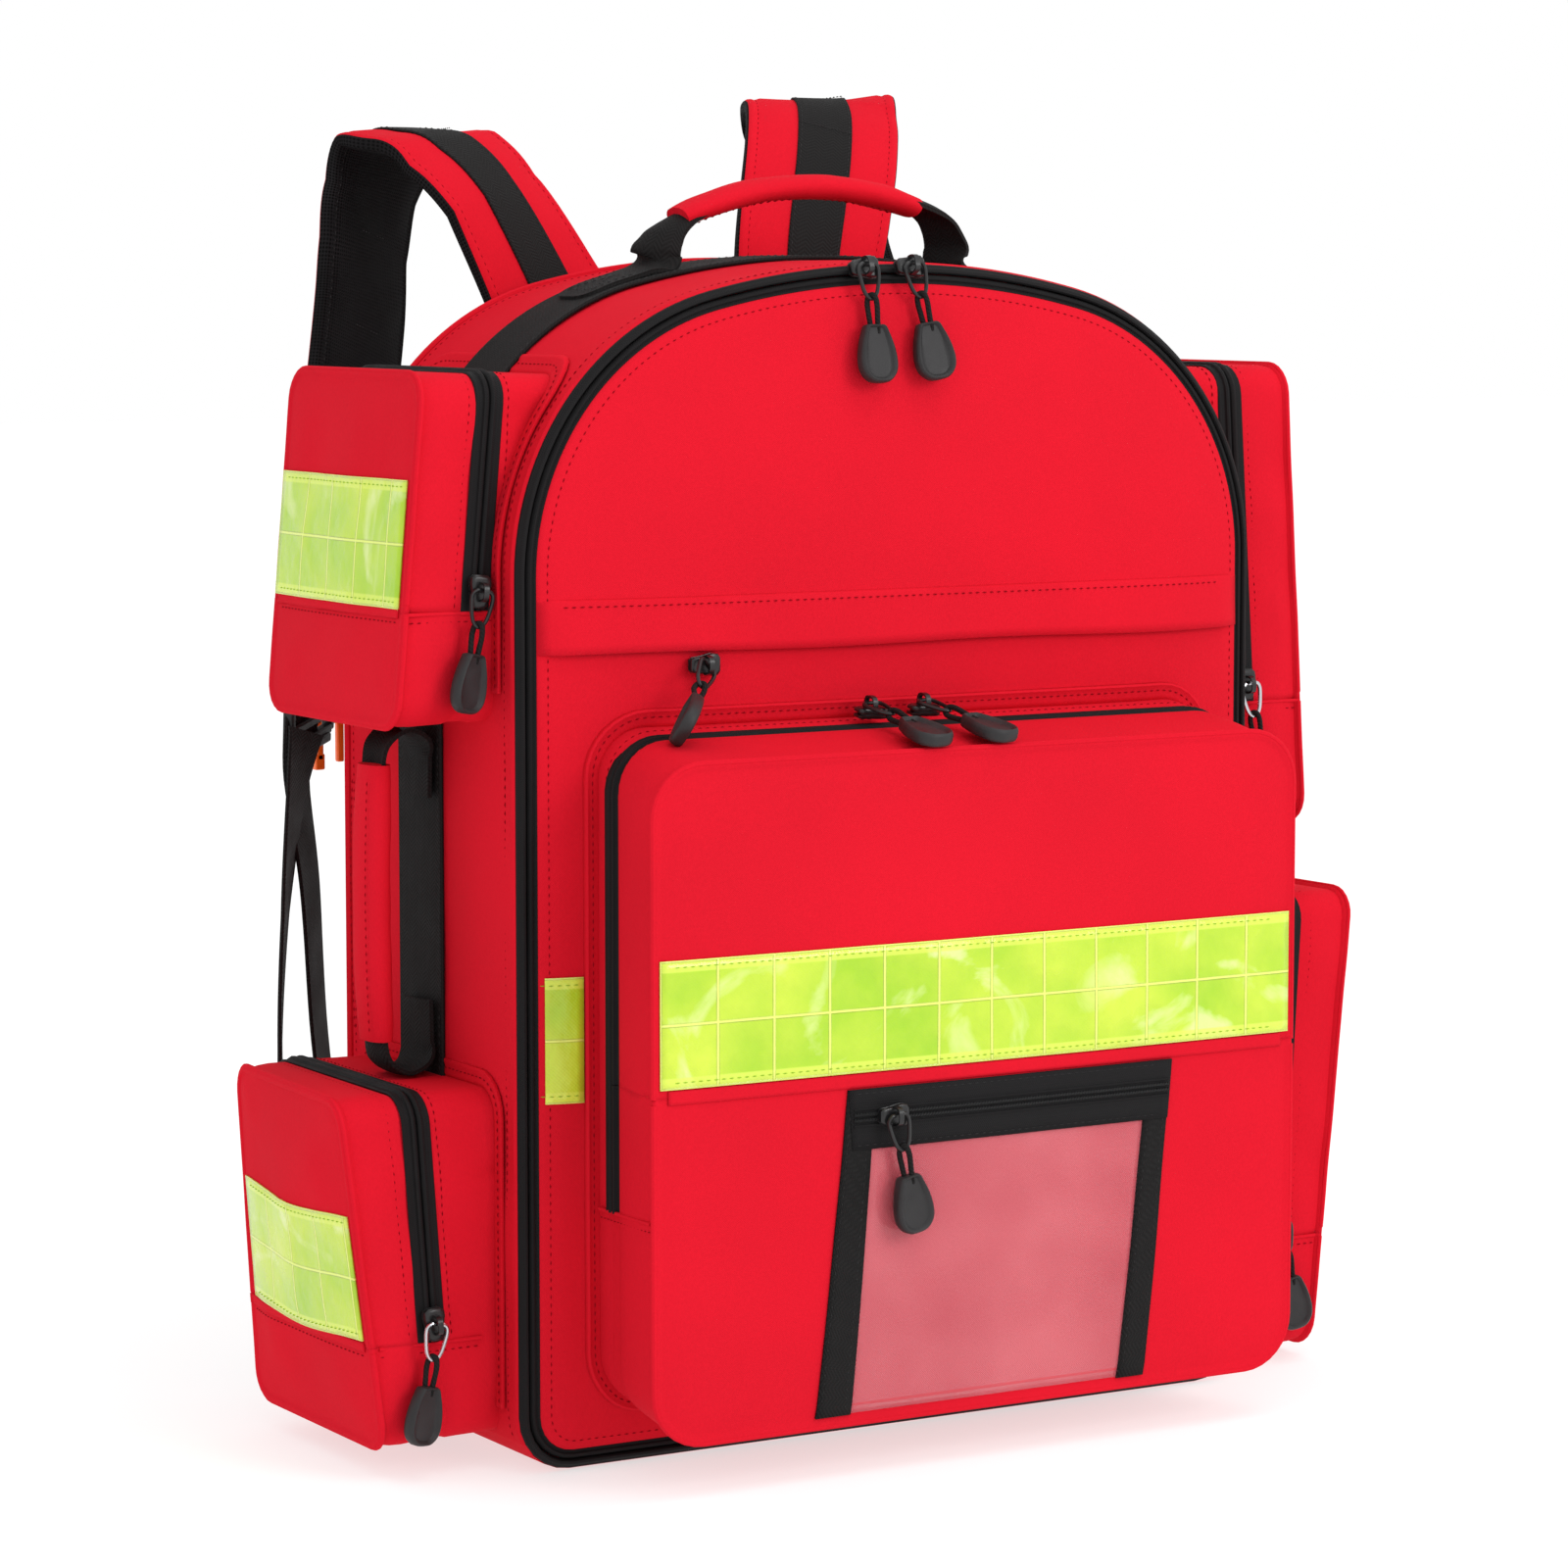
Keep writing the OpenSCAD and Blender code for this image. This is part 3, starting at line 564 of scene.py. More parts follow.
def ribbon_axes(path, turn):
    """A ribbon's width direction, turned about Z by the angles that turn spreads along it, and its face"""
    a = np.radians(np.interp(np.linspace(0, 1, len(path)), np.linspace(0, 1, len(turn)), turn))
    wide = np.stack([np.cos(a), np.sin(a), np.zeros(len(path))], 1)
    ahead = heading(path)
    wide = unit(wide - ahead * (wide * ahead).sum(1, keepdims=True))
    return wide, np.cross(wide, ahead)


def flat_profile(width, thick, lift=0.0, crown=0.0, n=6):
    """Section of a ribbon: rounded edges, and a crowned outer face"""
    a = np.linspace(-1, 1, n + 1)
    top = [(q * (width / 2 - thick * 0.3), lift + thick / 2 + crown * (1 - q * q)) for q in a]
    under = [(q * (width / 2 - thick * 0.3), lift - thick / 2) for q in a[::-1]]
    return top + [(width / 2, lift)] + under + [(-width / 2, lift)]


def circle(radius, n):
    t = np.arange(n) / n * 2 * math.pi
    return np.stack([radius * np.cos(t), radius * np.sin(t)], 1)


def tube(path, radius, loop=False, n=8, flat=1.0):
    """A round cord or wire along a path"""
    path = np.asarray(path, float)
    ahead = heading(path, loop)
    a = unit(np.cross(ahead, (0.31, 0.9, 0.27)))
    return sweep(path, a, np.cross(ahead, a), circle(radius, n) * (1, flat), loop=loop)


# ---------- laying cloth and stitches on a surface ----------

def surface(bm):
    return BVHTree.FromBMesh(bm)


def drop(tree, points, way, lift):
    """Moves points along a direction on to a surface, and lifts them off it"""
    way, nudge = Vector(way), Vector((0.013, 0.007, 0.011))
    out = []
    for p, up in zip(points, np.broadcast_to(lift, len(points))):
        hit = tree.ray_cast(Vector(p) + nudge - way * 400, way, 800)[0]
        if hit is None:
            hit = tree.find_nearest(Vector(p))[0]
        out.append(np.array(hit - way * float(up)))
    return np.array(out)


def level(xs, z):
    """A level row of points in front of the bag"""
    return [(x, 0, z) for x in xs]


def oblong(x0, x1, z0, z1):
    return [(x0, 0, z0), (x1, 0, z0), (x1, 0, z1), (x0, 0, z1)]


def wall(side, y0, y1, z0, z1):
    """An oblong that faces a side of the bag"""
    return [(side * 300, y, z) for y, z in ((y0, z0), (y1, z0), (y1, z1), (y0, z1))]


def face_out(bm, way):
    """Turns an open sheet so that its faces look along a direction"""
    way = Vector(way)
    if sum(f.normal.dot(way) * f.calc_area() for f in bm.faces) < 0:
        bmesh.ops.reverse_faces(bm, faces=bm.faces)
    return bm


def rows_sheet(rows, way, closed=False):
    """An open sheet through rows of points"""
    return face_out(Skin().add(np.concatenate(rows), grid_faces(len(rows), len(rows[0]), closed)).bm(), way)


def cloth(tree, corners, way, lift, cell=5.0, shift=None):
    """A four-cornered piece of cloth laid on a surface; corners go round from the lower left"""
    a, b, c, d = (np.asarray(q, float) for q in corners)
    w, h = np.linalg.norm(b - a), np.linalg.norm(d - a)
    n, m = max(2, round(w / cell)), max(2, round(h / cell))
    grid = [(1 - t) * ((1 - s) * a + s * b) + t * ((1 - s) * d + s * c) + (shift(s) if shift else 0)
            for t in np.arange(m + 1) / m for s in np.arange(n + 1) / n]
    faces = grid_faces(m + 1, n + 1)
    uvs = [[(w * (q % (n + 1)) / n, h * (q // (n + 1)) / m) for q in f] for f in faces]
    return face_out(Skin().add(drop(tree, grid, way, lift), faces, uvs).bm(), [-k for k in way])


THREADS = {}


def stitch(body, path, out, pitch=3.4, length=2.3, width=0.6, proud=0.35, mat=THREAD):
    """Lays a row of stitches along a path; out is the direction away from the fabric"""
    path = np.asarray(path, float)
    out = np.broadcast_to(np.asarray(out, float), path.shape)
    run = np.concatenate([[0], np.cumsum(np.linalg.norm(np.diff(path, axis=0), axis=1))])
    if run[-1] < pitch:
        return

    def at(s, values):
        return np.array([np.interp(s, run, values[:, k]) for k in range(3)])

    skin = THREADS.setdefault((body, mat.name), (Skin(), mat))[0]
    for s in np.arange(pitch / 2, run[-1] - pitch / 3, pitch):
        a, b, up = at(s - length / 2, path), at(s + length / 2, path), unit(at(s, out))
        mid = (a + b) / 2
        side = np.cross(unit(b - a), up) * width / 2
        skin.add([a - up * 0.15, b - up * 0.15, mid + side, mid - side, mid + up * proud, mid - up * 0.3],
                 [(0, 2, 4), (2, 1, 4), (1, 3, 4), (3, 0, 4), (2, 0, 5), (1, 2, 5), (3, 1, 5), (0, 3, 5)])


def sew_down(body, tree, points, lift, way=REAR, **how):
    """Stitches along points that are first laid on a surface"""
    stitch(body, drop(tree, points, way, lift), [-k for k in way], **how)


# ---------- main compartment ----------

OUT_3 = to3(OUT_N)
HOOP_SPINE = spine(150, 330)


def ground_free(amount):
    """An offset that fades out where the outline faces the ground"""
    return amount * np.clip((OUT_N[:, 1] + 0.75) / 0.5, 0, 1)


def hoop_sweep(profile, keep=None, **how):
    """Sweeps (offset, y) points round the bag, or along a part of it; there may be one section per point"""
    path, depth = to3(OUT_P), same(REAR, len(OUT_P))
    if keep is None:
        return sweep(path, OUT_3, depth, profile, loop=True, **how)
    prof = np.asarray(profile, float)
    return sweep(path[keep], OUT_3[keep], depth[keep], prof[keep] if prof.ndim == 3 else prof, **how)


def off_ground(offset, height, below=False):
    """Places on the outline at which the wall is above a height, or below it"""
    z = OUT_P[:, 1] + OUT_N[:, 1] * offset
    return list(np.flatnonzero(z < height if below else z > height))


def gusset():
    rear = 70
    outer = [(3.9, -77.3), (4.8, -77.1), (5.5, -75.6), (5.1, -73.6), (5.2, -68), (5.3, -60)]
    outer += [(5.3 + 0.9 * math.cos(y / 60 * math.pi / 2), y) for y in (-48, -34, -20, -7, 7, 20, 34, 48)]
    outer += [(5.3, 60), (5.2, 66), (5.6, 68.5), (4.4, rear)]
    inner = [(-2.4, rear), (-3, 60), (-3, 0), (-3, -60), (-2.4, -72)]
    prof = np.array([outer + inner] * len(OUT_P))
    for i, (p, fade) in enumerate(zip(OUT_P, ground_free(1))):
        for k, (o, y) in enumerate(outer):
            wave = ripple((p[0], y, p[1]), 46, 0.9, 3) if 2 < k < len(outer) - 3 else 0
            prof[i, k, 0] = 5 + (o - 5 + wave) * fade - 0.1
    mats = [0] * (len(outer) - 1) + [1] * (len(inner) + 1)
    top = off_ground(SKIN, 8)
    low = off_ground(SKIN, 12, below=True)
    low = [i for i in low if i > len(OUT_P) // 2] + [i for i in low if i < len(OUT_P) // 2]
    for name, keep in (("main_gusset", top), ("bottom_panel", low)):
        piece(name + "_fabric", hoop_sweep(prof, keep, mat=mats), [RED, RED_LINING], "shell", [name])
    path = to3(hoop(5.2), -69.6)[top]
    stitch("shell", path, OUT_3[top])
    stitch("shell", path + (0, 136, 0), OUT_3[top])


def main_zip():
    body = [(4.2, -76.0), (4.5, -77.0), (4.6, -77.8), (4.2, -78.6), (3.7, -78.9), (3.3, -79.7), (2.6, -80.3),
            (1.7, -80.3), (1.2, -79.7), (0.95, -78.6), (0.9, -76.8), (3.4, -76.2), (3.8, -75.6)]
    lid = [(0.6, -76.8), (0.55, -78.8), (0.2, -79.9), (-0.6, -80.7), (-1.4, -80.6), (-1.9, -79.9), (-2.6, -80.3),
           (-3.1, -80.8), (-3.5, -80.4), (-3.5, -78.6), (-2, -77)]
    piece("main_zip_body", hoop_sweep(body), TAPE, "shell")
    piece("main_zip_lid", hoop_sweep(lid), TAPE, "lid")


def girth():
    """Webbing up one side, over the top and down the other"""
    prof = np.array(flat_profile(GIRTH_W, WEB_T, 0, 0))[:, ::-1] + (7.3, 0)
    keep = off_ground(7, 9)
    piece("girth_webbing_strap", hoop_sweep(prof, keep), BLACK, "shell", ["girth_webbing"])
    for y in (-17, 17):
        stitch("shell", to3(hoop(8.2), y)[keep], OUT_3[keep], proud=0.25, mat=BLACK_THREAD, width=0.4)


def lid_depth(points):
    """Depth of the lid's padded face, by the distance to its edge"""
    d = edge_distance(points)
    y = np.interp(d, [2.8, 3.4, 5, 8, 12, 20, 32, 46, 62, 170],
                  [-80, -81, -81.9, -83, -84.1, -85.6, -87.7, -89.2, -90.3, -91])
    return np.array([v + ripple((p[0], 0, p[1]), 60, min(0.7, q * 0.02), 5) for v, p, q in zip(y, points, d)])


def lid_panel():
    lining = -76.3
    rings = [(hoop(-7.5), lining), (hoop(-4.6), -76.6), (hoop(-3.1), -78), (hoop(-2.9), -80.0)]
    rings += [(hoop(-o), lid_depth(hoop(-o))) for o in (3.6, 5, 7, 9.5, 12, 14.5)]
    bm = loft(rings, caps=(True, True), centre=HOOP_SPINE, steps=26,
              fill=lambda t, p, d: lid_depth(p) if np.mean(d) < -78 else lining).bm(weld=True)
    for f in bm.faces:
        f.material_index = 1 if f.calc_center_median().y > -77.5 else 0
    piece("lid_padded_panel", bm, [RED, RED_LINING], "lid", ["lid_panel"])
    inset = np.vstack([hoop(-7.2), hoop(-7.2)[:1]])
    stitch("lid", to3(inset, lid_depth(inset) - 0.1), FRONT)
    return surface(bm)


def lid_trim(tree):
    """Storm flap, slip pocket's zip, and reflective ends"""
    n = 66
    ends = np.interp(np.arange(n + 1), [0, 2, n - 2, n], [0.25, 1, 1, 0.25])
    rows = []
    for t, z, lift in ((0, 347, 0.1), (0.2, 346, 1.0), (0.4, 342, 1.3), (0.6, 336, 1.8), (0.85, 329, 2.7),
                       (1, 325.3, 3.3)):
        edge = [(-166.6 + 333.2 * i / n, 0, z + 0.5 * math.sin(i / 5.2) * t) for i in range(n + 1)]
        rows.append(drop(tree, edge, REAR, lift * ends))
    flap = piece("storm_flap_fabric", rows_sheet(rows, FRONT), RED, "lid", ["storm_flap"], thick=1.3)
    sew_down("lid", tree, level(range(-158, 159, 6), 344), 1.5)

    piece("slip_zip_tape", cloth(tree, oblong(-150, 150, 325.8, 334), REAR, 0.4), RED, "lid", thick=0.6)
    for k, z in enumerate((326.4, 329.6)):
        path = drop(tree, level(range(-152, 153, 4), z), REAR, 1.0)
        piece("slip_zip_coil_%d" % k, tube(path, 1.0), COIL, "lid")
    for name, x0, x1 in (("left", -168, -149.6), ("right", 149.6, 168)):
        band = cloth(tree, oblong(x0, x1, 148.5, 148.5 + BAND), REAR, 1.0, cell=3)
        piece("lid_band_" + name, band, LIME, "lid", ["lid_bands"] if name == "left" else (), thick=0.7)
        for z in (151.5, 195.5):
            sew_down("lid", tree, level(np.linspace(x0 + 1, x1 - 1, 6), z), 1.2, mat=LIME_THREAD, width=0.5)


def lid_mesh():
    """The lid's inner mesh pocket, its elastic and its binding"""
    nx, nz, half, low, high = 48, 40, 142, 40, 298
    rows = []
    for j in range(nz + 1):
        z = low + (high - low) * j / nz
        slack = 2.2 * math.sin(math.pi * (j / nz) ** 1.5)
        xs = [-half + 2 * half * i / nx for i in range(nx + 1)]
        rows.append([(x, -74.6 + slack * math.sin(math.pi * i / nx) + ripple((x, 0, z), 30, 0.8, 9), z)
                     for i, x in enumerate(xs)])
    verts = np.concatenate(rows)
    faces = grid_faces(nz + 1, nx + 1)
    skin = Skin().add(verts, faces, [[verts[q][[0, 2]] for q in f] for f in faces])
    net = piece("lid_mesh_pocket_net", face_out(skin.bm(), REAR), MESH, "lid", ["lid_mesh_pocket"], thick=0.8)
    edge = [(x, -74.2 + 2.4 * math.sin(math.pi * (x + half) / 2 / half), high) for x in np.linspace(-half, half, 30)]
    piece("lid_mesh_pocket_elastic", sweep(edge, same(UP, 30), same(REAR, 30), flat_profile(14, 2.2)), BLACK, "lid")
    edge = smooth_path([(-half, -75, high), (-half, -75, 52), (-130, -75, low), (130, -75, low), (half, -75, 52),
                        (half, -75, high)], 6)
    side = np.cross(heading(edge), REAR)
    piece("lid_mesh_pocket_binding", sweep(edge, side, same(REAR, len(edge)), flat_profile(10, 2)), BLACK, "lid")


# ---------- front pocket ----------

def pocket_rect(y, grow=0.0):
    """The front pocket's outline at a depth: it narrows a little towards its face"""
    t = (SEAT_Y - y) / (SEAT_Y + 141)
    p, o = rounded(-146, 146, 25, 292, 20)
    low, high = 28 - 5 * t, 297 - 11 * t
    p = np.stack([p[:, 0] * (143 + 6 * t) / 146, low + (p[:, 1] - 25) * (high - low) / 267], 1)
    return p + o * grow


def zip_profile(sign, lift=0.4, width=6.2):
    """Section of half a zip: tape with a rolled edge over the coil; sign tells which side of the line"""
    prof = [(lift, 0.15), (lift + 1.0, 0.25), (lift + 1.8, 0.9), (lift + 2.0, 1.7), (lift + 1.6, 2.5),
            (lift + 0.7, 2.9), (lift + 0.7, 4.0), (lift + 0.9, width - 0.5), (lift + 0.4, width),
            (lift - 0.5, width - 0.4), (lift - 0.5, 0.6)]
    return [(a, sign * b) for a, b in prof]


def front_pocket():
    table = [(-80, 0), (-86, 0), (-92, .3), (-97.6, .5), (-99.9, -.2), (-100, -.2), (-104, -.2), (-108, -.2),
             (-108.1, -.2), (-109.4, .7), (-112, 1.1), (-118, 1.3), (-128, 1.3), (-136, 1.0), (-140.6, .4),
             (-142.4, .1), (-143.0, .5), (-143.5, 1.5), (-144.3, 2.0), (-145.2, 1.9), (-145.8, 1.1), (-145.9, .1),
             (-145.3, -1.1), (-145.3, -2.6), (-145.9, -6.5)]

    def crown(t, p, d):
        return np.array([d - 1.5 * (1 - t * t) + ripple((q[0], 0, q[1]), 40, 0.5 * min(1, 3 * (1 - t)), 2) for q in p])

    bm = loft([(pocket_rect(y, o), y) for y, o in table], centre=spine(120, 190), steps=24, fill=crown).bm(weld=True)
    tree = surface(bm)

    def sort(c):
        if -108 < c.y < -100 and c.z > ZIP_END:
            return None
        return "cover" if c.y < ZIP_Y and c.z > FOLD_Z else "base"

    parts = split(bm, [((0, 0, FOLD_Z), UP), ((0, 0, ZIP_END), UP)], sort)
    piece("front_pocket_bucket", parts["base"], RED, "lid", ["front_pocket_base"], thick=1.2)
    piece("front_pocket_flap", parts["cover"], RED, "front_cover", ["front_pocket_cover"], thick=1.2)

    # zip along the gusset: the rear half goes all the way, the front half in two runs about the fold
    p, o = rounded(-145.1, 145.1, 26.2, 293.1, 20)
    p = p - o * np.clip(o[:, 1:], 0, 1) * 1.3
    for name, low, sign, body, stands in (("rear", ZIP_END, 1, "lid", ["lid_zips"]),
                                          ("cover", FOLD_Z + 0.15, -1, "front_cover", ())):
        run, outs = above(p, o, low)
        tape = sweep(to3(run, ZIP_Y), to3(outs), same(REAR, len(run)), zip_profile(sign))
        piece("front_zip_" + name, tape, TAPE, body, stands)
    for side in SIDES:
        path = [(side * 145.1, ZIP_Y, z) for z in np.linspace(ZIP_END, FOLD_Z - 0.15, 12)]
        tape = sweep(path, same((side, 0, 0), 12), same(REAR, 12), zip_profile(-1))
        piece("front_zip_low_" + hand(side), tape, TAPE, "lid")
    # welt round the face
    edge = pocket_rect(-144.9, 1.5)
    low_edge = edge[edge[:, 1] < FOLD_Z]
    low_edge = np.roll(low_edge, -1 - np.argmax(np.abs(np.diff(low_edge[:, 0]))), axis=0)
    for name, rim, body in (("cover", above(edge, edge, FOLD_Z)[0], "front_cover"), ("bucket", low_edge, "lid")):
        piece("front_welt_" + name, tube(to3(rim, -144.9), 1.25), RED, body)
    # stitching beside the zip and round the face
    for y, body, low in ((-96.5, "lid", ZIP_END), (-112, "front_cover", FOLD_Z + 1)):
        run, outs = above(pocket_rect(y, 0.6), rounded(-146, 146, 25, 292, 20)[1], low)
        stitch(body, to3(run, y), to3(outs))
    wide = np.max(pocket_rect(-112, 0.6)[:, 0])
    for side in SIDES:
        stitch("lid", [(side * wide, -112, z) for z in np.linspace(ZIP_END, FOLD_Z - 1, 10)], (side, 0, 0))
    # seam across the gusset where the zip ends
    for side in SIDES:
        path = np.array([(side * np.max(pocket_rect(y, 0.9)[:, 0]), y, ZIP_END - 1 - 0.05 * (y + 84))
                         for y in np.linspace(-90, -141, 16)])
        piece("pocket_gusset_seam_" + hand(side), tube(path, 1.0, n=10, flat=0.8), RED, "lid")
        stitch("lid", path + (side * 0.2, 0, -3.2), (side, 0, 0))
    # folded strip over the line on which the cover turns
    strip = cloth(tree, oblong(-145, 145, 155.6, 161), REAR, 0.7, cell=1.4)
    hem = piece("fold_strip", strip, RED, None, thick=0.6)
    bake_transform(hem)
    return tree


def pocket_flange(tree):
    """The strip by which the front pocket is sewn to the lid"""
    p, o = rounded(-143, 143, 28, 297, 20)
    rows = [drop(tree, to3(p + o * grow), REAR, lift)
            for grow, lift in ((-1.5, 0.4), (1, 1.3), (3.0, 1.4), (4.2, 1.7), (5.2, 2.3), (6.0, 1.9), (6.3, 0.2))]
    piece("front_pocket_flange", rows_sheet(rows, FRONT, closed=True), RED, "lid", thick=1.0)
    seam = to3(p + o * 3.0)
    sew_down("lid", tree, np.vstack([seam, seam[:1]]), 1.75)


def pocket_face(tree):
    """Reflective band, document window with its zip, and the film"""
    low = FOLD_Z + 3.4
    band = cloth(tree, oblong(-148.5, 148.5, low, low + BAND), REAR, 0.9, cell=3.3)
    strip = piece("front_reflective_band", band, LIME, "front_cover", ["front_band"], thick=0.8)
    for z in (low + 2.6, low + BAND - 2.6):
        sew_down("front_cover", tree, level(range(-143, 144, 6), z), 1.1, mat=LIME_THREAD, width=0.5)
    left = [(-79, 0, 25), (-63, 0, 25), (-54.5, 0, 133), (-65, 0, 155)]
    right = [(64, 0, 25), (77, 0, 25), (89, 0, 155), (75.5, 0, 133)]
    for name, corners, stands in (("left", left, ["window_frame"]), ("right", right, ())):
        piece("window_binding_" + name, cloth(tree, corners, REAR, 1.0, cell=4), BLACK, "lid", stands, thick=0.9)
    tape = [(-63.5, 0, 131), (87, 0, 131), (89, 0, 155), (-65, 0, 155)]
    piece("window_zip_tape", cloth(tree, tape, REAR, 1.4, cell=4), TAPE, "lid", thick=0.9)
    for k, (z, lift, r, mat) in enumerate(((140.6, 1.35, 0.6, TAPE), (142.7, 1.5, 0.85, COIL),
                                           (144.9, 1.5, 0.85, COIL), (147.0, 1.35, 0.6, TAPE))):
        path = drop(tree, level(range(-63, 88, 3), z), REAR, lift)
        piece("window_zip_ridge_%d" % k, tube(path, r), mat, "lid")
    film = cloth(tree, [(-65, 0, 25.5), (66, 0, 25.5), (76.5, 0, 134), (-56, 0, 134)], REAR, 0.5)
    sheet = piece("window_clear_film", film, FILM, "lid", ["window_film"], thick=0.4)
    seam = dict(mat=BLACK_THREAD, width=0.35, proud=0.2)
    for a, b in (((-77, 27), (-63.5, 153)), ((-66, 27), (-57, 131)), ((75, 27), (87, 153)), ((66.5, 27), (77.5, 131))):
        sew_down("lid", tree, to3(np.linspace(a, b, 20)), 1.05, **seam)
    for z in (132.8, 153.2):
        sew_down("lid", tree, level(range(-62, 87, 5), z), 1.5, **seam)


# ---------- side pockets ----------

def side_pocket(name):
    side, low, high, top_x, bottom_x, inset, fold, bulge = SIDE[name]
    cover, lower = name + "_cover", "lower" in name
    way, out_way = (-side, 0, 0), (side, 0, 0)
    p, o = rounded(SIDE_FRONT, SIDE_REAR, low, high, 11)

    def face(z):
        return bottom_x + (top_x - bottom_x) * (z - low) / (high - low)

    def dent(q, h):
        """Soft sags of the front and rear walls"""
        wall = np.clip((abs(q[0] + 3) - 46) / 10, 0, 1) * np.clip(h / 8, 0, 1) * np.clip(abs(h - inset) / 8, 0, 1)
        return wall * ripple((side * h, q[0] * 0.2, q[1]), 24, 2.2, 11)

    def place(q, h):
        """A point of the outline, h in from the face; a lower pocket puffs out and leans at its top"""
        fore = (SIDE_REAR - q[0]) / (SIDE_REAR - SIDE_FRONT)
        loose = lower * max(0, (q[1] - low) / (high - low)) * np.clip(1 - h / inset, 0, 1)
        x = face(q[1]) + loose * (2 + 6.5 * fore) - min(h, face(q[1]) - shell_x(q[1]) + 1.5)
        fold_in = loose * 9 * np.clip((0.5 - fore) * 2, 0, 1)
        return (side * x, q[0] - fold_in + dent(q, h), max(q[1], 0.4))

    def crown(t, q, d):
        return np.array([-bulge * (1 - t ** 2.2) + ripple((side, r[0], r[1]), 34, 1.8 * min(1, 3 * (1 - t)), 4)
                         for r in q])

    def centre(q):
        middle = (SIDE_FRONT + SIDE_REAR) / 2
        return np.stack([np.full(len(q), middle), np.clip(q[:, 1], low + 55, high - 55)], 1)

    table = [(90, 0), (60, 0), (46, .2), (inset + 12, .3), (inset + 6.6, .5), (inset + 4.1, -.2), (inset + 4, -.2),
             (inset, -.2), (inset - 4, -.2), (inset - 4.1, -.2), (inset - 6.6, .6), (12, 1.0), (7, .8), (4.2, .3),
             (3.2, .1), (2.5, 1.2), (1.7, 1.7), (.7, 1.5), (-.1, .5), (-.2, -.6), (.4, -1.7), (0, -4.5)]
    bm = loft([(p + o * grow, h) for h, grow in table], place, centre=centre, steps=14, fill=crown).bm(weld=True)
    tree = surface(bm)

    def sort(c):
        h = face(c.z) - abs(c.x)
        if abs(h - inset) < 4.02 and c.z > fold:
            return None
        return "cover" if h < inset and c.z > fold else "base"

    parts = split(bm, [((0, 0, fold), UP)], sort)
    piece(name + "_bucket", parts["base"], RED, "shell", [name + "_pocket"], thick=1.2)
    piece(name + "_flap", parts["cover"], RED, cover, [cover], thick=1.2)

    # zip up the front, over the top and down the rear
    run, outs = above(p, o, fold + 0.2)
    path = [place(q, inset) for q in run]
    out3 = np.stack([np.zeros(len(outs)), outs[:, 0], outs[:, 1]], 1)
    for tag, sign, body in (("shell", 1, "shell"), ("cover", -1, cover)):
        stands = ["body_zips"] if name == "left_upper" and sign > 0 else ()
        piece("%s_zip_%s" % (name, tag), sweep(path, out3, same(way, len(run)), zip_profile(sign)), TAPE, body, stands)
    for h, body in ((inset + 9, "shell"), (inset - 9, cover)):
        stitch(body, [place(q, h) for q in run + outs * 0.65], out3)
    # welt round the face
    for tag, keep, body in (("cover", p[:, 1] >= fold, cover), ("bucket", p[:, 1] < fold, "shell")):
        ring = p[keep] + o[keep] * 1.1
        gap = np.linalg.norm(np.diff(ring, axis=0), axis=1)
        ring = np.roll(ring, -(gap.argmax() + 1), axis=0) if gap.max() > 30 else ring
        piece("%s_welt_%s" % (name, tag), tube([place(q, 1.3) for q in ring], 1.15), RED, body)
    # seam where the bucket's panels meet the opening part
    for tag, y, out, deep in (("front", SIDE_FRONT, -1, 22), ("rear", SIDE_REAR, 1, 20)):
        row = np.array([(side * (face(fold) - min(h, face(fold) - shell_x(fold) + 0.5)), y + out * 0.7, fold - 0.6)
                        for h in np.linspace(2, inset + deep, 24)])
        piece("%s_seam_%s" % (name, tag), tube(row, 0.8), RED, "shell")
        stitch("shell", row + (0, out * 0.1, -3.2), (0, out, 0))
    row = [(side * 300, y, fold - 3.6) for y in range(SIDE_FRONT + 4, SIDE_REAR - 3, 5)]
    sew_down("shell", tree, row, 0.25, way)
    hem = cloth(tree, wall(side, SIDE_FRONT + 3, SIDE_REAR - 3, fold - 1.9, fold + 1.9), way, 0.6, cell=1.2)
    strip = piece(name + "_fold_strip", hem, RED, None, thick=0.5)
    x = side * face(fold) * MM
    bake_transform(strip)

    # reflective band above the seam, sagging on the lower pockets
    sag = 2.6 * lower
    z = fold + (2.6 if lower else 1.6)
    front, rear = SIDE_FRONT + 3, SIDE_REAR - (10 if lower else 1)
    band = cloth(tree, wall(side, rear, front, z, z + BAND), way, 0.9, cell=3.5,
                 shift=lambda s: (0, 0, -sag * math.sin(math.pi * s) ** 2))
    strip = piece(name + "_band", band, LIME, cover, thick=0.8)
    for q in (z + 2.6, z + BAND - 2.6):
        row = [(side * 300, y, q - sag * math.sin(math.pi * (rear - y) / (rear - front)) ** 2)
               for y in range(front + 2, rear - 1, 5)]
        sew_down(cover, tree, row, 1.15, way, mat=LIME_THREAD, width=0.5)

    # flange sewn to the bag's side
    run, outs = above(p, o, low + 12)

    def on_shell(q, lift):
        return [(side * shell_x(b, SKIN + lift), a, b) for a, b in q]

    rows = [on_shell(run + outs * grow, lift)
            for grow, lift in ((-1, 1.0), (1.5, 1.9), (4.5, 1.6), (6.2, 2.3), (7.1, 2.2), (7.3, 0.9))]
    piece(name + "_flange", rows_sheet(rows, out_way), RED, "shell", thick=0.9)
    stitch("shell", on_shell(run + outs * 3.6, 1.9), out_way)


# ---------- back, straps and webbing ----------

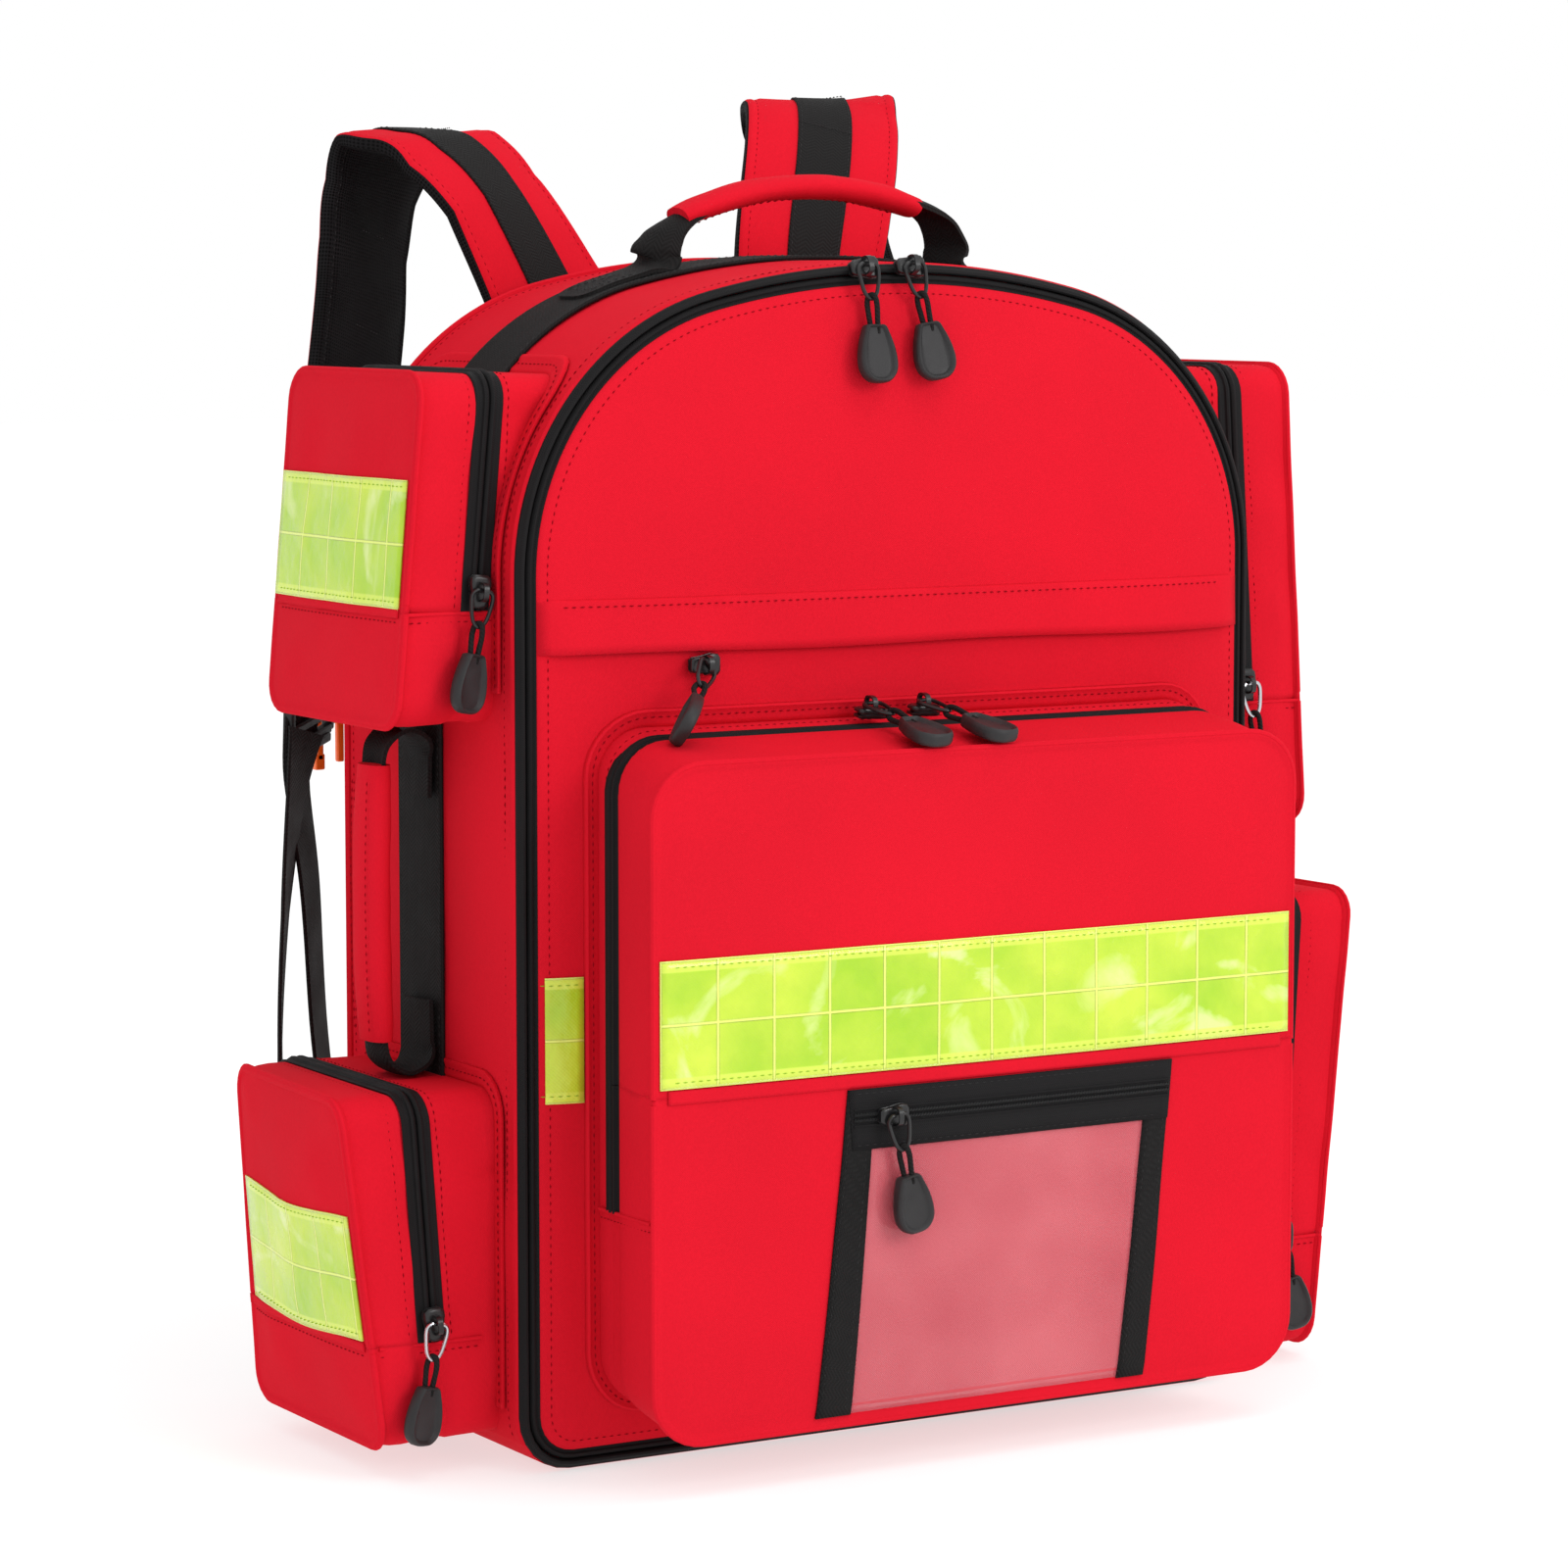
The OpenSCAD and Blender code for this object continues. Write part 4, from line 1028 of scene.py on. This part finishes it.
def back():
    rings = [(hoop(2.5), 70), (hoop(4.4), 70.6), (hoop(4.95), 72.5), (hoop(4.95), 75.5), (hoop(4.2), 77.4),
             (hoop(2.5), 78)]
    skin = loft(rings, caps=(True, True), centre=HOOP_SPINE, steps=18,
                fill=lambda t, p, d: d + (0.4 * (1 - t) if d > 74 else 0))
    piece("back_panel_fabric", skin, RED, "shell", ["back_panel"], weld=True)
    off = 4.9 + ground_free(0.9) - 1.6 * (OUT_N[:, 1] < -0.3)
    piece("back_piping", tube(to3(OUT_P + OUT_N * off[:, None], 70.3), 1.5, loop=True), RED, "shell")
    for name, x0, x1, z0, z1 in (("left", -130, -26, 170, 425), ("right", 26, 130, 170, 425),
                                 ("lumbar", -130, 130, 60, 150)):
        back_pad("back_pad_" + name, np.array([x0, z0]), np.array([x1, z1]))
    # yoke that holds the roots of the straps
    p, o = rounded(-103, 103, 430, 457, 10, 4)
    rings = [(p, 77.8), (p, 88), (p - o * 0.8, 91.2), (p - o * 3, 93)]
    skin = loft(rings, centre=lambda q: np.stack([np.clip(q[:, 0], -88, 88), np.full(len(q), 443.5)], 1),
                steps=5, fill=lambda t, q, d: 93 + 0.6 * (1 - t))
    piece("strap_yoke", skin, RED, "shell", weld=True)
    for z in (434, 452):
        stitch("shell", [(x, 93.2, z) for x in range(-98, 99, 6)], REAR)


def back_pad(name, low, high):
    """A crowned mesh pad between two corners (x, z), with three sewn channels across its length"""
    p, o = rounded(low[0], high[0], low[1], high[1], 22, 5)
    rings = [(p, 77.8), (p + o * 0.3, 79.5), (p - o * 0.4, 81.4), (p - o * 2.2, 83.6), (p - o * 5, 85), (p - o * 9, 85.8)]
    long = int((high - low).argmax())
    channels = [low[long] + (high - low)[long] * k / 4 for k in (1, 2, 3)]
    reach = np.zeros(2)
    reach[long] = (high - low)[long] / 2 - 40
    mid = (low + high) / 2

    def fill(t, q, d):
        groove = sum(np.exp(-((q[:, long] - s) / 3.2) ** 2) for s in channels)
        return d + 1.6 * (1 - t) - 2.8 * groove * min(1, 4 * (1 - t))

    skin = loft(rings, centre=lambda q: np.clip(q, mid - reach, mid + reach), steps=24, fill=fill)
    piece(name, skin, MESH, "shell", ["back_pads"] if name.endswith("left") else (), weld=True)
    binding = [(-1, -1.8), (1.2, -1.6), (1.6, 0), (1.2, 1.8), (-1, 2.6)]
    piece(name + "_binding", sweep(to3(p, 79.2), to3(o), same(REAR, len(p)), binding, loop=True), BLACK, "shell")


def ribbon(points, turn, side, n=8):
    """Route of a strap and its axes; the right-hand one is mirrored"""
    route = smooth_path(points, n)
    found = (route, *ribbon_axes(route, turn))
    return found if side < 0 else [q * (-1, 1, 1) for q in found]


def strap(side):
    name, half, edge = hand(side), STRAP_W / 2, 0.87
    route, wide, up = ribbon(*((STRAP, STRAP_TURN) if side < 0 else (RIGHT_STRAP, RIGHT_TURN)), side)
    run = np.concatenate([[0], np.cumsum(np.linalg.norm(np.diff(route, axis=0), axis=1))])
    width = np.interp(run, [0, run[-1] - 46, run[-1] - 12, run[-1]], [half, half, 25, 20])
    thick = np.interp(run, [0, run[-1] - 40, run[-1]], [1, 1, 0.55])
    red = [(-.985, 2.2), (-.955, 3.0), (-.91, 3.3), (-edge, 2.9), (-.79, 3.9), (-.5, 4.6), (-.2, 4.8)]
    red += [(-a, b) for a, b in red[::-1]]
    black = [(1, 1.4), (1, -0.6), (.99, -2.4), (.93, -3.5), (edge, -3.1), (.79, -3.9), (.5, -4.5)]
    black += [(0, -4.7)] + [(-a, b) for a, b in black[::-1]]
    mats = [0] * (len(red) - 1) + [1] * (len(black) + 1)
    prof = [[(a * w, b * t + ripple(q + across * a * w, 22, 0.5, 6) * (abs(a) < 0.8)) for a, b in red + black]
            for q, across, w, t in zip(route, wide, width, thick)]
    piece(name + "_padded_strap", sweep(route, wide, up, prof, mat=mats), [RED, MESH], "shell",
          [name + "_shoulder_strap"])
    piece(name + "_strap_stripe", sweep(route, wide, up, flat_profile(STRIPE_W, 1.2, 5.2, 0.2)), BLACK, "shell",
          ["strap_webbing"] if side < 0 else ())
    sewn = slice(0, len(route) - 8)
    for a, face, lift, mat in ((edge * half, 1, 3.0, THREAD), (11, 1, 5.95, BLACK_THREAD),
                               (edge * half, -1, 3.2, BLACK_THREAD)):
        for b in (-a, a):
            path = route + wide * b + up * lift * face
            stitch("shell", path[sewn], up[sewn] * face, mat=mat, width=0.45, proud=0.25)
    # bar tacks through the padding, and across the stripe
    for k in (22, 38, 54, 66):
        for a in (-6, 6):
            q = route[k] + wide[k] * a - up[k] * 4.7
            stitch("shell", [q - wide[k] * 4.5, q + wide[k] * 4.5], -up[k], pitch=2.4, length=2.0, mat=BLACK_THREAD)
    for k in (28, 44, 60):
        row = [route[k] + wide[k] * a + up[k] * 6.6 for a in (-12, 12)]
        stitch("shell", row, up[k], pitch=1.6, length=1.4, mat=BLACK_THREAD)


def bars(boxes):
    """Several bars in one mesh, each (low corner, high corner)"""
    skin = Skin()
    for (x0, y0, z0), (x1, y1, z1) in boxes:
        v = [(x, y, z) for x in (x0, x1) for y in (y0, y1) for z in (z0, z1)]
        skin.add(v, [(0, 1, 3, 2), (4, 6, 7, 5), (0, 4, 5, 1), (2, 3, 7, 6), (0, 2, 6, 4), (1, 5, 7, 3)])
    return skin.bm()


def turned(degrees):
    return Euler([math.radians(q) for q in degrees], "XYZ").to_matrix().to_4x4()


def placed(bm, matrix):
    bm.transform(matrix)
    if matrix.determinant() < 0:
        bmesh.ops.reverse_faces(bm, faces=bm.faces)
    return bm


def buckles(side):
    name = hand(side)
    at = Matrix.Translation(BUCKLE) @ turned(BUCKLE_TURN)
    at = Matrix.Scale(-1, 4, (1, 0, 0)) @ at if side > 0 else at
    lock = bars([((-16, -2.6, -14), (-13, 2.6, 6)), ((13, -2.6, -14), (16, 2.6, 6)),
                 ((-13.2, -2.2, 2.6), (13.2, 2.2, 6.4)), ((-13.2, -2.9, -7.2), (13.2, 1.4, -3.2)),
                 ((-13.2, -3.4, -14.6), (13.2, 0.6, -10.6)), ((-11, -4.6, -17.5), (11, -2.6, -13.5))])
    piece(name + "_ladder_lock", placed(lock, at), PLASTIC, "shell", ["ladder_locks"] if side < 0 else (), bevel=0.9)
    load = ribbon(LOAD, (29, 44, 50, 52, 40, 20), side)
    piece(name + "_load_webbing", sweep(*load, flat_profile(STRIPE_W, WEB_T)), BLACK, "shell",
          ["adjuster_webbing"] if side < 0 else ())
    tail = ribbon(TAIL, (29, 48, 60, 64, 62), side)
    piece(name + "_tail_webbing", sweep(*tail, flat_profile(STRIPE_W, WEB_T)), BLACK, "shell")
    end, wide, up = (q[-1] for q in tail)
    hem = sweep([end + (0, 0, 5), end - (0, 0, 5)], [wide] * 2, [up] * 2, flat_profile(STRIPE_W + 1, WEB_T * 2.4))
    piece(name + "_tail_fold", hem, BLACK, "shell")
    # loop that holds the buckle to the strap's end, and the tab at the webbing's lower end
    loop = ribbon([(-164, 120, 308), (-168, 118.5, 300), (-173, 114, 292)], (29, 29), side, 6)
    piece(name + "_buckle_loop", sweep(*loop, flat_profile(STRIPE_W, 3.6)), BLACK, "shell")
    corners = [(-176, 12), (-140, 12), (-150, 52), (-170, 52)]
    if side > 0:
        corners = [(-a, b) for a, b in corners[::-1]]
    ring = smooth_path(to3(corners + corners[:1]), 6)[:-1][:, [0, 2]]
    mid = ring.mean(0)
    rings = [(mid + (ring - mid) * k, y) for k, y in ((1, 77.5), (1, 80.5), (0.97, 82.4), (0.9, 83.2))]
    piece(name + "_webbing_tab", loft(rings, steps=5), RED, "shell", weld=True)


def chest(side):
    x, y, z = CHEST[0] * -side, *CHEST[1:]
    body = hand(side) + "_chest_strap"
    path = np.array([(x, y, z - d) for d in np.linspace(-2, 33, 12)])
    path[:, 1] += 0.8 * np.sin(np.linspace(0, math.pi, 12))
    piece(body + "_webbing", sweep(path, same((1, 0, 0), 12), same(FRONT, 12), flat_profile(20, 1.8)), BLACK, body,
          [body])
    if side < 0:
        parts = [((-12.5, -3, -6), (12.5, 3, 0)), ((-12.5, -3, -14), (12.5, 3, -9.6)), ((-12.5, -3, -14), (-9.6, 3, 0)),
                 ((9.6, -3, -14), (12.5, 3, 0)), ((-11.6, -2.2, -30), (-8.4, 2.2, -13)),
                 ((8.4, -2.2, -30), (11.6, 2.2, -13)), ((-12.4, -2.2, -34), (-7.8, 2.2, -27)),
                 ((7.8, -2.2, -34), (12.4, 2.2, -27)), ((-1.6, -1.6, -31), (1.6, 1.6, -13))]
    else:
        parts = [((-14, -4.5, -34), (14, -2.7, -6)), ((-14, 2.7, -34), (14, 4.5, -6)),
                 ((-14, -4.5, -20), (-11.8, 4.5, -6)), ((11.8, -4.5, -20), (14, 4.5, -6)),
                 ((-14, -4.5, -34), (-11.8, 4.5, -30)), ((11.8, -4.5, -34), (14, 4.5, -30)),
                 ((-12.5, -3.4, -7), (12.5, 3.4, 0))]
    clip = placed(bars(parts), Matrix.Translation((x, y, z - 32)))
    piece(hand(side) + "_chest_buckle", clip, ORANGE, body, [hand(side) + "_chest_clip"], bevel=0.7)


# ---------- handles ----------

def grip(name, path, out, wide, half, belly, power, taper):
    """Padded sleeve round a handle's webbing, a little thinner at its ends"""
    t = np.linspace(-1, 1, len(path))
    sines, cosines = circle(1, 20)[:, ::-1].T
    section = np.stack([half[0] * sines * (1 + belly * np.abs(sines)),
                        half[1] * np.copysign(np.abs(cosines) ** power, cosines)], 1)
    prof = section * (1 - taper * np.abs(t) ** 6)[:, None, None]
    prof = prof + np.array([[(ripple(q + (s[0], s[1], 0), 14, 0.5, 8), 0) for s in section] for q in path])
    piece(name + "_grip_sleeve", sweep(path, out, wide, prof), RED, name + "_handle", [name + "_handle_grip"])


def cupped(half_w, cup, share):
    """Sections of webbing that is folded hollow: half widths, depth of the cup, and its share at the back"""
    a = np.linspace(-1, 1, 9)
    return [[(q * w, 0.9 + c * (1 - q * q)) for q in a] + [(q * w, -0.9 + c * share * (1 - q * q)) for q in a[::-1]]
            for w, c in zip(half_w, cup)]


def top_surface(x):
    """Height of the bag's top at x"""
    x = abs(x)
    if x <= (CROWN_R + SKIN) * math.cos(LEAN):
        return CROWN_Z + math.sqrt((CROWN_R + SKIN) ** 2 - x * x) + 1.5
    return SHOULDER_Z + math.sqrt(max(0, (SHOULDER_R + SKIN) ** 2 - (x - SHOULDER_X) ** 2)) + 1.5


def top_handle():
    mid, peak, r = 5, 514, 162
    turn = np.radians(np.linspace(-23.5, 18.8, 41))
    out = to3(np.stack([np.sin(turn), np.cos(turn)], 1))
    path = out * (r - 5) + (mid, 0, peak - r)
    grip("top", path, out, same(REAR, 41), (4.6, 10.5), 0.12, 0.75, 0.16)
    for y in (-2.2, 2.2):
        stitch("top_handle", path[2:-2] - out[2:-2] * 5.0 + (0, y, 0), -out[2:-2])
    # from inside the grip, bulging out and twisting, down to the girth webbing
    rises = {-1: [(-44, 0, 500), (-55, 0, 495), (-63.5, -1, 489.5), (-68.5, -2, 483), (-70, -1, 477)],
             1: [(44, 0, 504), (56, 0, 501), (68, 1, 495), (74, 2, 485), (73.5, 1, 476.5)]}
    mid = 2
    for side in SIDES:
        foot = [(mid * 0.4 + side * d, 0, top_surface(mid * 0.4 + side * d) + h)
                for d, h in ((82, 3.0), (97, 2.6), (110, 2.5))]
        route = smooth_path(rises[side] + foot, 8)
        ahead = heading(route)
        run = np.linspace(0, 1, len(route))
        twist = np.radians(np.interp(run, [0, .15, .33, .46, .56, .66, 1], [0, 12, 34, 36, 14, 0, 0]))
        twist *= 1 if side < 0 else 0.6
        across = np.stack([-np.sin(twist), np.cos(twist), np.zeros(len(route))], 1)
        across = unit(across - ahead * (across * ahead).sum(1, keepdims=True))
        half_w = np.interp(run, [0, .2, .36, .5, .62, .92, .97, 1], [8.5, 9, 10, 12, 13.5, 13.5, 11, 6])
        cup = np.interp(run, [0, .15, .32, .5, .62, 1], [2.8, 2.8, 3.4, 2.2, 0.4, 0])
        web = piece("top_handle_web_" + hand(side),
                    sweep(route, across, np.cross(ahead, across) * side, cupped(half_w, cup, 0.35)), BLACK, None,
                    ["top_handle_webbing", "handle_anchors"] if side < 0 else ())
        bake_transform(web)
        # box stitching with a cross on the foot
        x0, x1, half = mid + side * 76, mid + side * 106, 10
        for a, b, n in (((x0, -half), (x1, -half), 8), ((x0, half), (x1, half), 8), ((x0, -half), (x0, half), 2),
                        ((x1, -half), (x1, half), 2), ((x0, half), (x1, -half), 8), ((x0, -half), (x1, half), 8)):
            row = [(x, y, top_surface(x) + 4.0) for x, y in np.linspace(a, b, n)]
            stitch("shell", row, UP, mat=BLACK_THREAD, width=0.5)


def side_handle():
    x, y, low, high, n = -204, -12, 168, 279, 33
    t = np.linspace(-1, 1, n)
    path = np.stack([x - 1.5 * (1 - t * t), np.full(n, y), np.linspace(low, high, n)], 1)
    grip("side", path, same((-1, 0, 0), n), same(REAR, n), (5.8, 11.4), 0, 0.8, 0.12)
    for d in (-2.2, 2.2):
        stitch("side_handle", path[1:-1] + (6.0, d, 0), (1, 0, 0))
        stitch("side_handle", path[1:-1] + (-6.0, d * 3, 0), (-1, 0, 0))
    for name, end, sign in (("low", low, -1), ("high", high, 1)):
        route = smooth_path([(x + dx, y + dy, end + sign * dz) for dx, dy, dz in
                             ((0, 0, -14), (0, 0, 0), (2, 0, 8), (10, 2, 13), (19, 5, 10.5), (22.5, 8, 2), (23, 9, -14))])
        ahead = heading(route)
        run = np.linspace(0, 1, len(route))
        across = unit(same(REAR, len(route)) - ahead * ahead[:, 1:2])
        half_w = np.interp(run, [0, .2, .45, .7, 1], [8.5, 9, 10.5, 12.5, 12.5])
        cup = -np.interp(run, [0, .3, .7, 1], [2.6, 3.0, 1.0, 0])
        web = piece("side_handle_web_" + name, sweep(route, across, np.cross(ahead, across), cupped(half_w, cup, 0.5)),
                    BLACK, None, ["side_handle_webbing"] if sign < 0 else ())
        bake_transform(web)


# ---------- zip hardware ----------

# tilt of the tape about X, puller's turn, body lies across, turn round the crown, bright wire, twist of the tag
HARDWARE = {"main_%s_left": (-20, (-11, 0, 0), True, -3, False, 4),
            "main_%s_right": (-20, (-11, -8, 0), True, 0.4, False, -4),
            "front_%s_left": (-80.8, (-76, 0, 6), True, 0, False, 0),
            "front_%s_right": (-80.8, (-76, 0, 16), True, 0, False, 0),
            "slip_%s": (0, (-37, 50, 0), True, 0, False, 62),
            "window_%s": (0, (0, -11, 0), True, 0, False, 6),
            "left_upper_%s": (0, (0, 10, 0), False, 0, False, 24),
            "left_lower_%s": (0, (0, 10, 0), False, 0, True, 20),
            "right_upper_%s": (0, (0, -10, 0), False, 0, True, 0),
            "right_lower_%s": (0, (0, -10, 0), False, 0, False, 0)}


def ring_of(half, z):
    """A closed outline that is symmetrical about x = 0, from its half widths at heights"""
    return np.array(list(zip(half, z)) + [(-a, b) for a, b in zip(half[::-1], z[::-1])])


def slider_mesh(across):
    """Slider on its tape at the origin, facing -Y"""
    z = np.linspace(-6.5, 6.5, 12)
    ring = ring_of(np.interp(z, [-6.5, -5.8, -2, 3, 5.6, 6.5], [2.0, 3.0, 3.4, 4.5, 4.2, 2.6]), z)
    rings = [(ring * k, y) for k, y in ((0.9, -0.4), (1, -0.9), (1, -1.8), (0.8, -2.0), (0.8, -2.8), (1, -3.0),
                                        (1, -3.9), (0.93, -4.4), (0.8, -4.6))]
    bm = loft(rings, caps=(True, True), centre=lambda q: q * (0, 0.6), steps=3).bm(weld=True)
    if across:
        bm.transform(Matrix.Rotation(math.pi / 2, 4, "Y"))
    bail = smooth_path([(0, -3.8, -3.4), (0, -6.2, -3.3), (0, -8.2, -2.4), (0, -8.7, 0), (0, -8.2, 2.4),
                        (0, -6.2, 3.3), (0, -3.8, 3.4)], 5)
    side = same((1, 0, 0), len(bail))
    arch = sweep(bail, side, np.cross(heading(bail), side), [(-1.1, -.5), (-.8, .5), (.8, .5), (1.1, -.5)])
    both = bpy.data.meshes.new("tmp")
    arch.bm().to_mesh(both)
    bm.from_mesh(both)
    bpy.data.meshes.remove(both)
    return bm


def puller_mesh():
    """Wire ring, doubled cord and moulded tag hanging from the origin; materials 0, 1 and 2"""
    ring = smooth_path([(-2.6, 0, 0.5), (2.6, 0, 0.5), (4.5, 0, -1.6), (4.1, 0, -6.5), (2.7, 0, -11.6), (0, 0, -13.8),
                        (-2.7, 0, -11.6), (-4.1, 0, -6.5), (-4.5, 0, -1.6), (-2.6, 0, 0.5)], 6)[:-1]
    side = same(REAR, len(ring))
    skin = sweep(ring, np.cross(heading(ring, True), side), side, circle(0.85, 8), loop=True)
    cord = smooth_path([(-1.2, 0.4, -28), (-1.25, 1.2, -21), (-1.2, 1.7, -15.5), (-.6, 1.0, -12.6), (.6, -1.0, -12.6),
                        (1.2, -1.7, -15.5), (1.25, -1.2, -21), (1.2, -0.4, -28)], 6)
    cord = tube(cord, 1.15)
    skin.add(cord.verts, cord.faces, cord.uvs, 1)
    edge = ring_of([3.6, 4.9, 5.9, 7.3, 8.4, 8.9, 8.5, 7.2, 5.2, 2.6],
                   [-24.3, -25.2, -27.5, -31, -35, -39, -42.5, -45, -46.8, -47.8])
    edge = smooth_path(to3(np.vstack([edge, edge[:1]])), 3)[:-1][:, [0, 2]]

    def mid(q):
        return np.stack([np.zeros(len(q)), np.clip(q[:, 1], -42, -28)], 1)

    face = [(0.5, 1.3), (0.62, 1.35), (0.7, 1.9), (0.78, 2.5), (0.86, 2.7), (0.94, 2.3), (1.0, 1.2)]
    rings = [(mid(edge) + (edge - mid(edge)) * k, t) for k, t in [(k, -t) for k, t in face] + face[::-1]]
    loft(rings, caps=(True, True), centre=mid, steps=3, skin=skin, mat=2)
    return skin.bm(weld=True)


def zip_hardware():
    sliders = {across: slider_mesh(across) for across in (True, False)}
    puller = puller_mesh()
    for name, (tilt, turn, across, crest, bright, twist) in HARDWARE.items():
        slider, tag = name % "slider", name % "puller"
        axis = Vector(JOINTS[tag + "_swing"]["pos_m"]) / MM
        tilt = math.radians(tilt)
        place = axis + Vector((0, math.cos(tilt), math.sin(tilt))) * RING_DROP
        lean = math.radians(crest)
        if name[:-3] in SIDE:
            side, low, high, top_x, bottom_x = SIDE[name[:-3]][:5]
            lean -= side * math.atan2(bottom_x - top_x, high - low)
        at = Matrix.Translation(place) @ Matrix.Rotation(lean, 4, "Y") @ Matrix.Rotation(tilt, 4, "X")
        piece(slider + "_body", placed(sliders[across].copy(), at), ENAMEL, slider, [slider])
        bm = puller.copy()
        for v in bm.verts:
            v.co.rotate(Matrix.Rotation(math.radians(twist) * min(1, max(0, (-v.co.z - 15) / 7)), 3, "Z"))
        placed(bm, Matrix.Translation(axis) @ turned(turn))
        piece(tag + "_set", bm, [CHROME if bright else ENAMEL, BLACK, RUBBER], tag, [tag], "puller_rubber")


# ---------- inside ----------

def soft_board(name, low, high, stands=()):
    """A padded panel: a crowned box with rounded edges, its thin side along its shortest axis"""
    low, high = np.array(low, float), np.array(high, float)
    size, middle = high - low, (low + high) / 2
    thin = int(size.argmin())
    flat = [k for k in range(3) if k != thin]
    p, o = rounded(low[flat[0]], high[flat[0]], low[flat[1]], high[flat[1]], 8, 9)
    # the face closes on a line along its longer side
    reach = np.maximum(size[flat] / 2 - 20, 0) * (size[flat] == size.max())

    def place(q, d):
        v = middle.copy()
        v[flat], v[thin] = q, middle[thin] + d
        return v

    half = size[thin] / 2
    table = [(-4, -half), (-1.2, -half * 0.8), (0, -half * 0.3), (0, half * 0.3), (-1.2, half * 0.8), (-4, half)]
    skin = loft([(p + o * g, d) for g, d in table], place, caps=(True, True),
                centre=lambda q: np.clip(q, middle[flat] - reach, middle[flat] + reach))
    piece(name, skin, DIVIDER, "shell", stands, weld=True)


def inside():
    soft_board("shelf_divider", (-160, -62, 235), (160, 64, 241), ["inner_dividers"])
    soft_board("upright_divider", (-3, -62, 12), (3, 64, 234.5))
    rings = [(hoop(-13), 67.5), (hoop(-12.4), 66.5), (hoop(-14), 65.0)]
    piece("back_lining", loft(rings, caps=(True, True), centre=HOOP_SPINE, steps=10), DIVIDER, "shell", weld=True)
    board = frame["nodes"]["stiffener_boards"]
    board.data.materials.clear()
    board.data.materials.append(BOARD)


# ---------- stage ----------

def show(name, data, place=(0, 0, 0), face=None):
    """Puts a lamp, camera or mesh in the scene; face is the direction its back looks in"""
    obj = bpy.data.objects.new(name, data)
    obj.location = place
    if face:
        obj.rotation_euler = face.to_track_quat("Z", "Y").to_euler()
    bpy.context.scene.collection.objects.link(obj)
    return obj


def stage():
    floor_mat = Shader("pale_floor", Roughness=0.9, Specular_IOR_Level=0.0, Emission_Color=rgb(255, 255, 255),
                       Emission_Strength=0.62)
    floor_mat.finish(floor_mat.mix(floor_mat.clouds(3.0, 2.0), rgb(176, 176, 176), rgb(182, 182, 182)))
    mesh = bpy.data.meshes.new("studio_floor")
    bm = bmesh.new()
    bmesh.ops.create_grid(bm, x_segments=4, y_segments=4, size=12.0)
    bm.to_mesh(mesh)
    bm.free()
    mesh.materials.append(floor_mat.mat)
    show("studio_floor", mesh, (0, 0, -0.0005))

    world = bpy.data.worlds.new("studio_world")
    world.use_nodes = True
    world.node_tree.nodes["Background"].inputs[0].default_value = (1, 1, 1, 1)
    world.node_tree.nodes["Background"].inputs[1].default_value = 1.0
    bpy.context.scene.world = world
    middle = Vector((0, 0, 0.26))
    for name, place, size, power in (("key", (0.9, -2.2, 1.3), 1.0, 20), ("top", (0.3, -0.8, 2.4), 1.2, 9)):
        light = bpy.data.lights.new(name, "AREA")
        light.energy, light.size = power, size
        show(name, light, place, Vector(place) - middle)

    azimuth, elevation, distance = math.radians(-30.6), math.radians(6.0), 2.094
    target = Vector((-0.007, 0, 0.2593))
    back_way = Vector((math.sin(azimuth) * math.cos(elevation), -math.cos(azimuth) * math.cos(elevation),
                       math.sin(elevation)))
    cam = bpy.data.cameras.new("camera")
    cam.sensor_width, cam.lens = 36, 114.2
    bpy.context.scene.camera = show("camera", cam, target + back_way * distance, back_way)
    bpy.context.scene.view_settings.view_transform = "Standard"


gusset()
main_zip()
girth()
lid_tree = lid_panel()
lid_trim(lid_tree)
lid_mesh()
face_tree = front_pocket()
pocket_flange(lid_tree)
pocket_face(face_tree)
for pocket in SIDE:
    side_pocket(pocket)
back()
for side in SIDES:
    strap(side)
    buckles(side)
    chest(side)
top_handle()
side_handle()
zip_hardware()
inside()
for (body, tag), (skin, mat) in THREADS.items():
    piece("stitching_%s_%s" % (body, tag), skin, mat, body)
stage()
